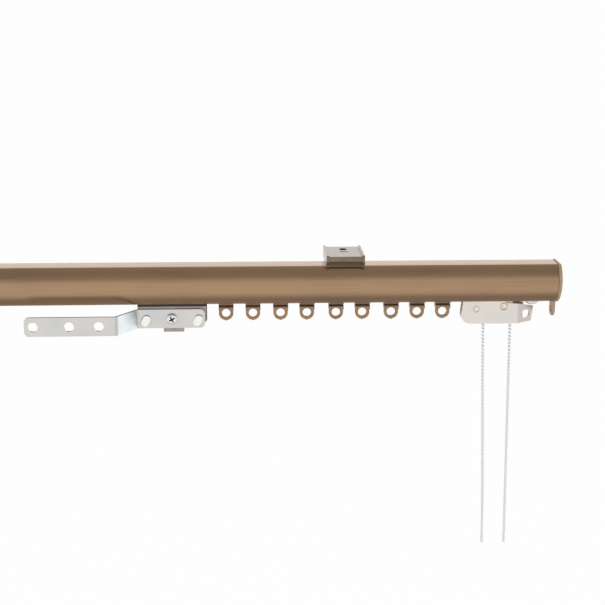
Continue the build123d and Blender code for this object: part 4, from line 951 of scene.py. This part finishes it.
@made_once
def pale_painted_floor(tree):
    """Pale matt floor paint. Metal mirrors it white, but dim under the track, where the track itself would keep the
    light off, and a little dimmer far out to the right."""
    stage = bpy.context.scene.track_stage
    paint = add(tree, "ShaderNodeBsdfDiffuse", None, {"Color": (0.86, 0.86, 0.86, 1), "Roughness": 0.0})
    place = place_of(tree)
    across = add(tree, "ShaderNodeMath", {"operation": "ABSOLUTE"}, {0: (place, "Y")})
    along = add(tree, "ShaderNodeMath", {"operation": "ABSOLUTE"}, {0: (place, "X")})
    # past is 0 at the rail's end and grows beyond it
    past = add(tree, "ShaderNodeMath", {"operation": "MULTIPLY_ADD"}, {0: along, 1: 0.75, 2: -0.3})
    away = add(tree, "ShaderNodeMath", {"operation": "MAXIMUM"}, {0: across, 1: past})
    under = add(tree, "ShaderNodeMapRange", EASED, ends_of(away, (0.25, stage.mirror_low), (0.85, 1.0)))
    right = add(tree, "ShaderNodeMapRange", EASED, ends_of((place, "X"), (0.7, 1.0), (1.6, 0.82)))
    dims = add(tree, "ShaderNodeMath", {"operation": "MULTIPLY"}, {0: under, 1: right})
    seen_as(tree, paint, "ShaderNodeEmission", dims, "ShaderNodeOutputMaterial", keep=0.03)


def make_floor():
    """Plain square floor far below the track."""
    drop, reach = bpy.context.scene.track_stage.floor_drop, 30.0
    corners = np.array([(-reach, -reach), (reach, -reach), (reach, reach), (-reach, reach)])
    mesh = mesh_of("floor", np.column_stack([corners, np.full(4, -drop)]), [[0, 1, 2, 3]])
    mesh.materials.append(pale_painted_floor())
    floor = bpy.data.objects.new("floor", mesh)
    bpy.context.scene.collection.objects.link(floor)


def make_stage():
    """White surroundings, pale floor, two soft lamps level with the track, one low behind it that glows on its top
    faces, and a cool one far out at the right."""
    stage = bpy.context.scene.track_stage
    bpy.context.scene.view_settings.view_transform = "Standard"
    make_surroundings()
    make_floor()
    lamp("key", (-0.7, -1.3, -0.05), (0.15, 0, -0.03), (0.7, 0.7), stage.key)
    lamp("fill", (1.1, -1.2, -0.05), (0.2, 0, -0.03), (0.7, 0.7), stage.fill)
    lamp("back", (0.0, 1.5, 0.42), (0.05, 0, -0.01), (2.8, 0.5), stage.back, mirrored=True)
    lamp("side", (2.0, 0.3, -0.63), (0.1, -0.02, -0.045), (0.6, 0.6), stage.side, (0.72, 0.86, 1.0), mirrored=True)


# ---------------------------------------------------------------- operators, panel and registration


class TRACK_OT_camera(bpy.types.Operator):
    """Places the camera where the photograph was taken from"""

    bl_idname = "track.camera"
    bl_label = "Camera"

    def execute(self, context):
        make_camera()
        return {"FINISHED"}


class TRACK_OT_cord_falls(bpy.types.Operator):
    bl_idname = "track.cord_falls"
    bl_label = "Cord falls"

    def execute(self, context):
        make_falls()
        return {"FINISHED"}


class TRACK_OT_cord_loop(bpy.types.Operator):
    """Gives the cord that lies in the rail its braid"""

    bl_idname = "track.cord_loop"
    bl_label = "Cord loop"

    def execute(self, context):
        make_cord_loop()
        return {"FINISHED"}


class TRACK_OT_rail(bpy.types.Operator):
    """Makes the bronze rail from its section"""

    bl_idname = "track.rail"
    bl_label = "Rail"

    def execute(self, context):
        make_rail()
        return {"FINISHED"}


class TRACK_OT_end_caps(bpy.types.Operator):
    """Makes the two moulded end caps with their hook eyes"""

    bl_idname = "track.end_caps"
    bl_label = "End caps"

    def execute(self, context):
        make_end_caps()
        return {"FINISHED"}


class TRACK_OT_brackets(bpy.types.Operator):
    """Makes the two ceiling brackets with jaw and clamp screw"""

    bl_idname = "track.brackets"
    bl_label = "Brackets"

    def execute(self, context):
        make_brackets()
        return {"FINISHED"}


class TRACK_OT_pulley_housing(bpy.types.Operator):
    """Makes the cord pulley under the right end"""

    bl_idname = "track.pulley_housing"
    bl_label = "Pulley housing"

    def execute(self, context):
        make_pulley_housing()
        return {"FINISHED"}


class TRACK_OT_rail_blocks(bpy.types.Operator):
    """Makes the guide block and the return wheel inside the rail"""

    bl_idname = "track.rail_blocks"
    bl_label = "Rail blocks"

    def execute(self, context):
        make_rail_blocks()
        return {"FINISHED"}


class TRACK_OT_gliders(bpy.types.Operator):
    """Makes the nine gliders of each side"""

    bl_idname = "track.gliders"
    bl_label = "Gliders"

    def execute(self, context):
        make_gliders()
        return {"FINISHED"}


class TRACK_OT_carriers(bpy.types.Operator):
    """Makes the two cord-drawn carriers"""

    bl_idname = "track.carriers"
    bl_label = "Carriers"

    def execute(self, context):
        make_carriers()
        return {"FINISHED"}


class TRACK_OT_overlap_arms(bpy.types.Operator):
    """Makes the two joggled arms and their screws"""

    bl_idname = "track.overlap_arms"
    bl_label = "Overlap arms"

    def execute(self, context):
        make_arms()
        return {"FINISHED"}


class TRACK_OT_stage(bpy.types.Operator):
    """Makes the surroundings, the floor and the lamps"""

    bl_idname = "track.stage"
    bl_label = "Stage"

    def execute(self, context):
        make_stage()
        return {"FINISHED"}


STEPS = [
    TRACK_OT_camera,
    TRACK_OT_cord_falls,
    TRACK_OT_cord_loop,
    TRACK_OT_rail,
    TRACK_OT_end_caps,
    TRACK_OT_brackets,
    TRACK_OT_pulley_housing,
    TRACK_OT_rail_blocks,
    TRACK_OT_gliders,
    TRACK_OT_carriers,
    TRACK_OT_overlap_arms,
    TRACK_OT_stage,
]


class TRACK_PT_panel(bpy.types.Panel):
    """Lists the settings and steps of the curtain track"""

    bl_label = "Curtain track"
    bl_idname = "TRACK_PT_panel"
    bl_space_type = "VIEW_3D"
    bl_region_type = "UI"
    bl_category = "Curtain track"

    def draw(self, context):
        for name in GROUPS:
            group = getattr(context.scene, name)
            box = self.layout.box()
            for key in group.__annotations__:
                box.prop(group, key)
        for step in STEPS:
            self.layout.operator(step.bl_idname)


GROUPS = {
    "track_rail": RailSettings,
    "track_metal": MetalSettings,
    "track_plastic": PlasticSettings,
    "track_cord": CordSettings,
    "track_stage": StageSettings,
}


def register():
    for cls in (*GROUPS.values(), *STEPS, TRACK_PT_panel):
        bpy.utils.register_class(cls)
    for name, cls in GROUPS.items():
        setattr(bpy.types.Scene, name, bpy.props.PointerProperty(type=cls))


def unregister():
    for name in GROUPS:
        delattr(bpy.types.Scene, name)
    for cls in (TRACK_PT_panel, *reversed(STEPS), *reversed(list(GROUPS.values()))):
        bpy.utils.unregister_class(cls)


def main():
    register()
    for step in STEPS:
        getattr(bpy.ops.track, step.bl_idname.split(".")[1])()


if __name__ == "__main__":
    main()
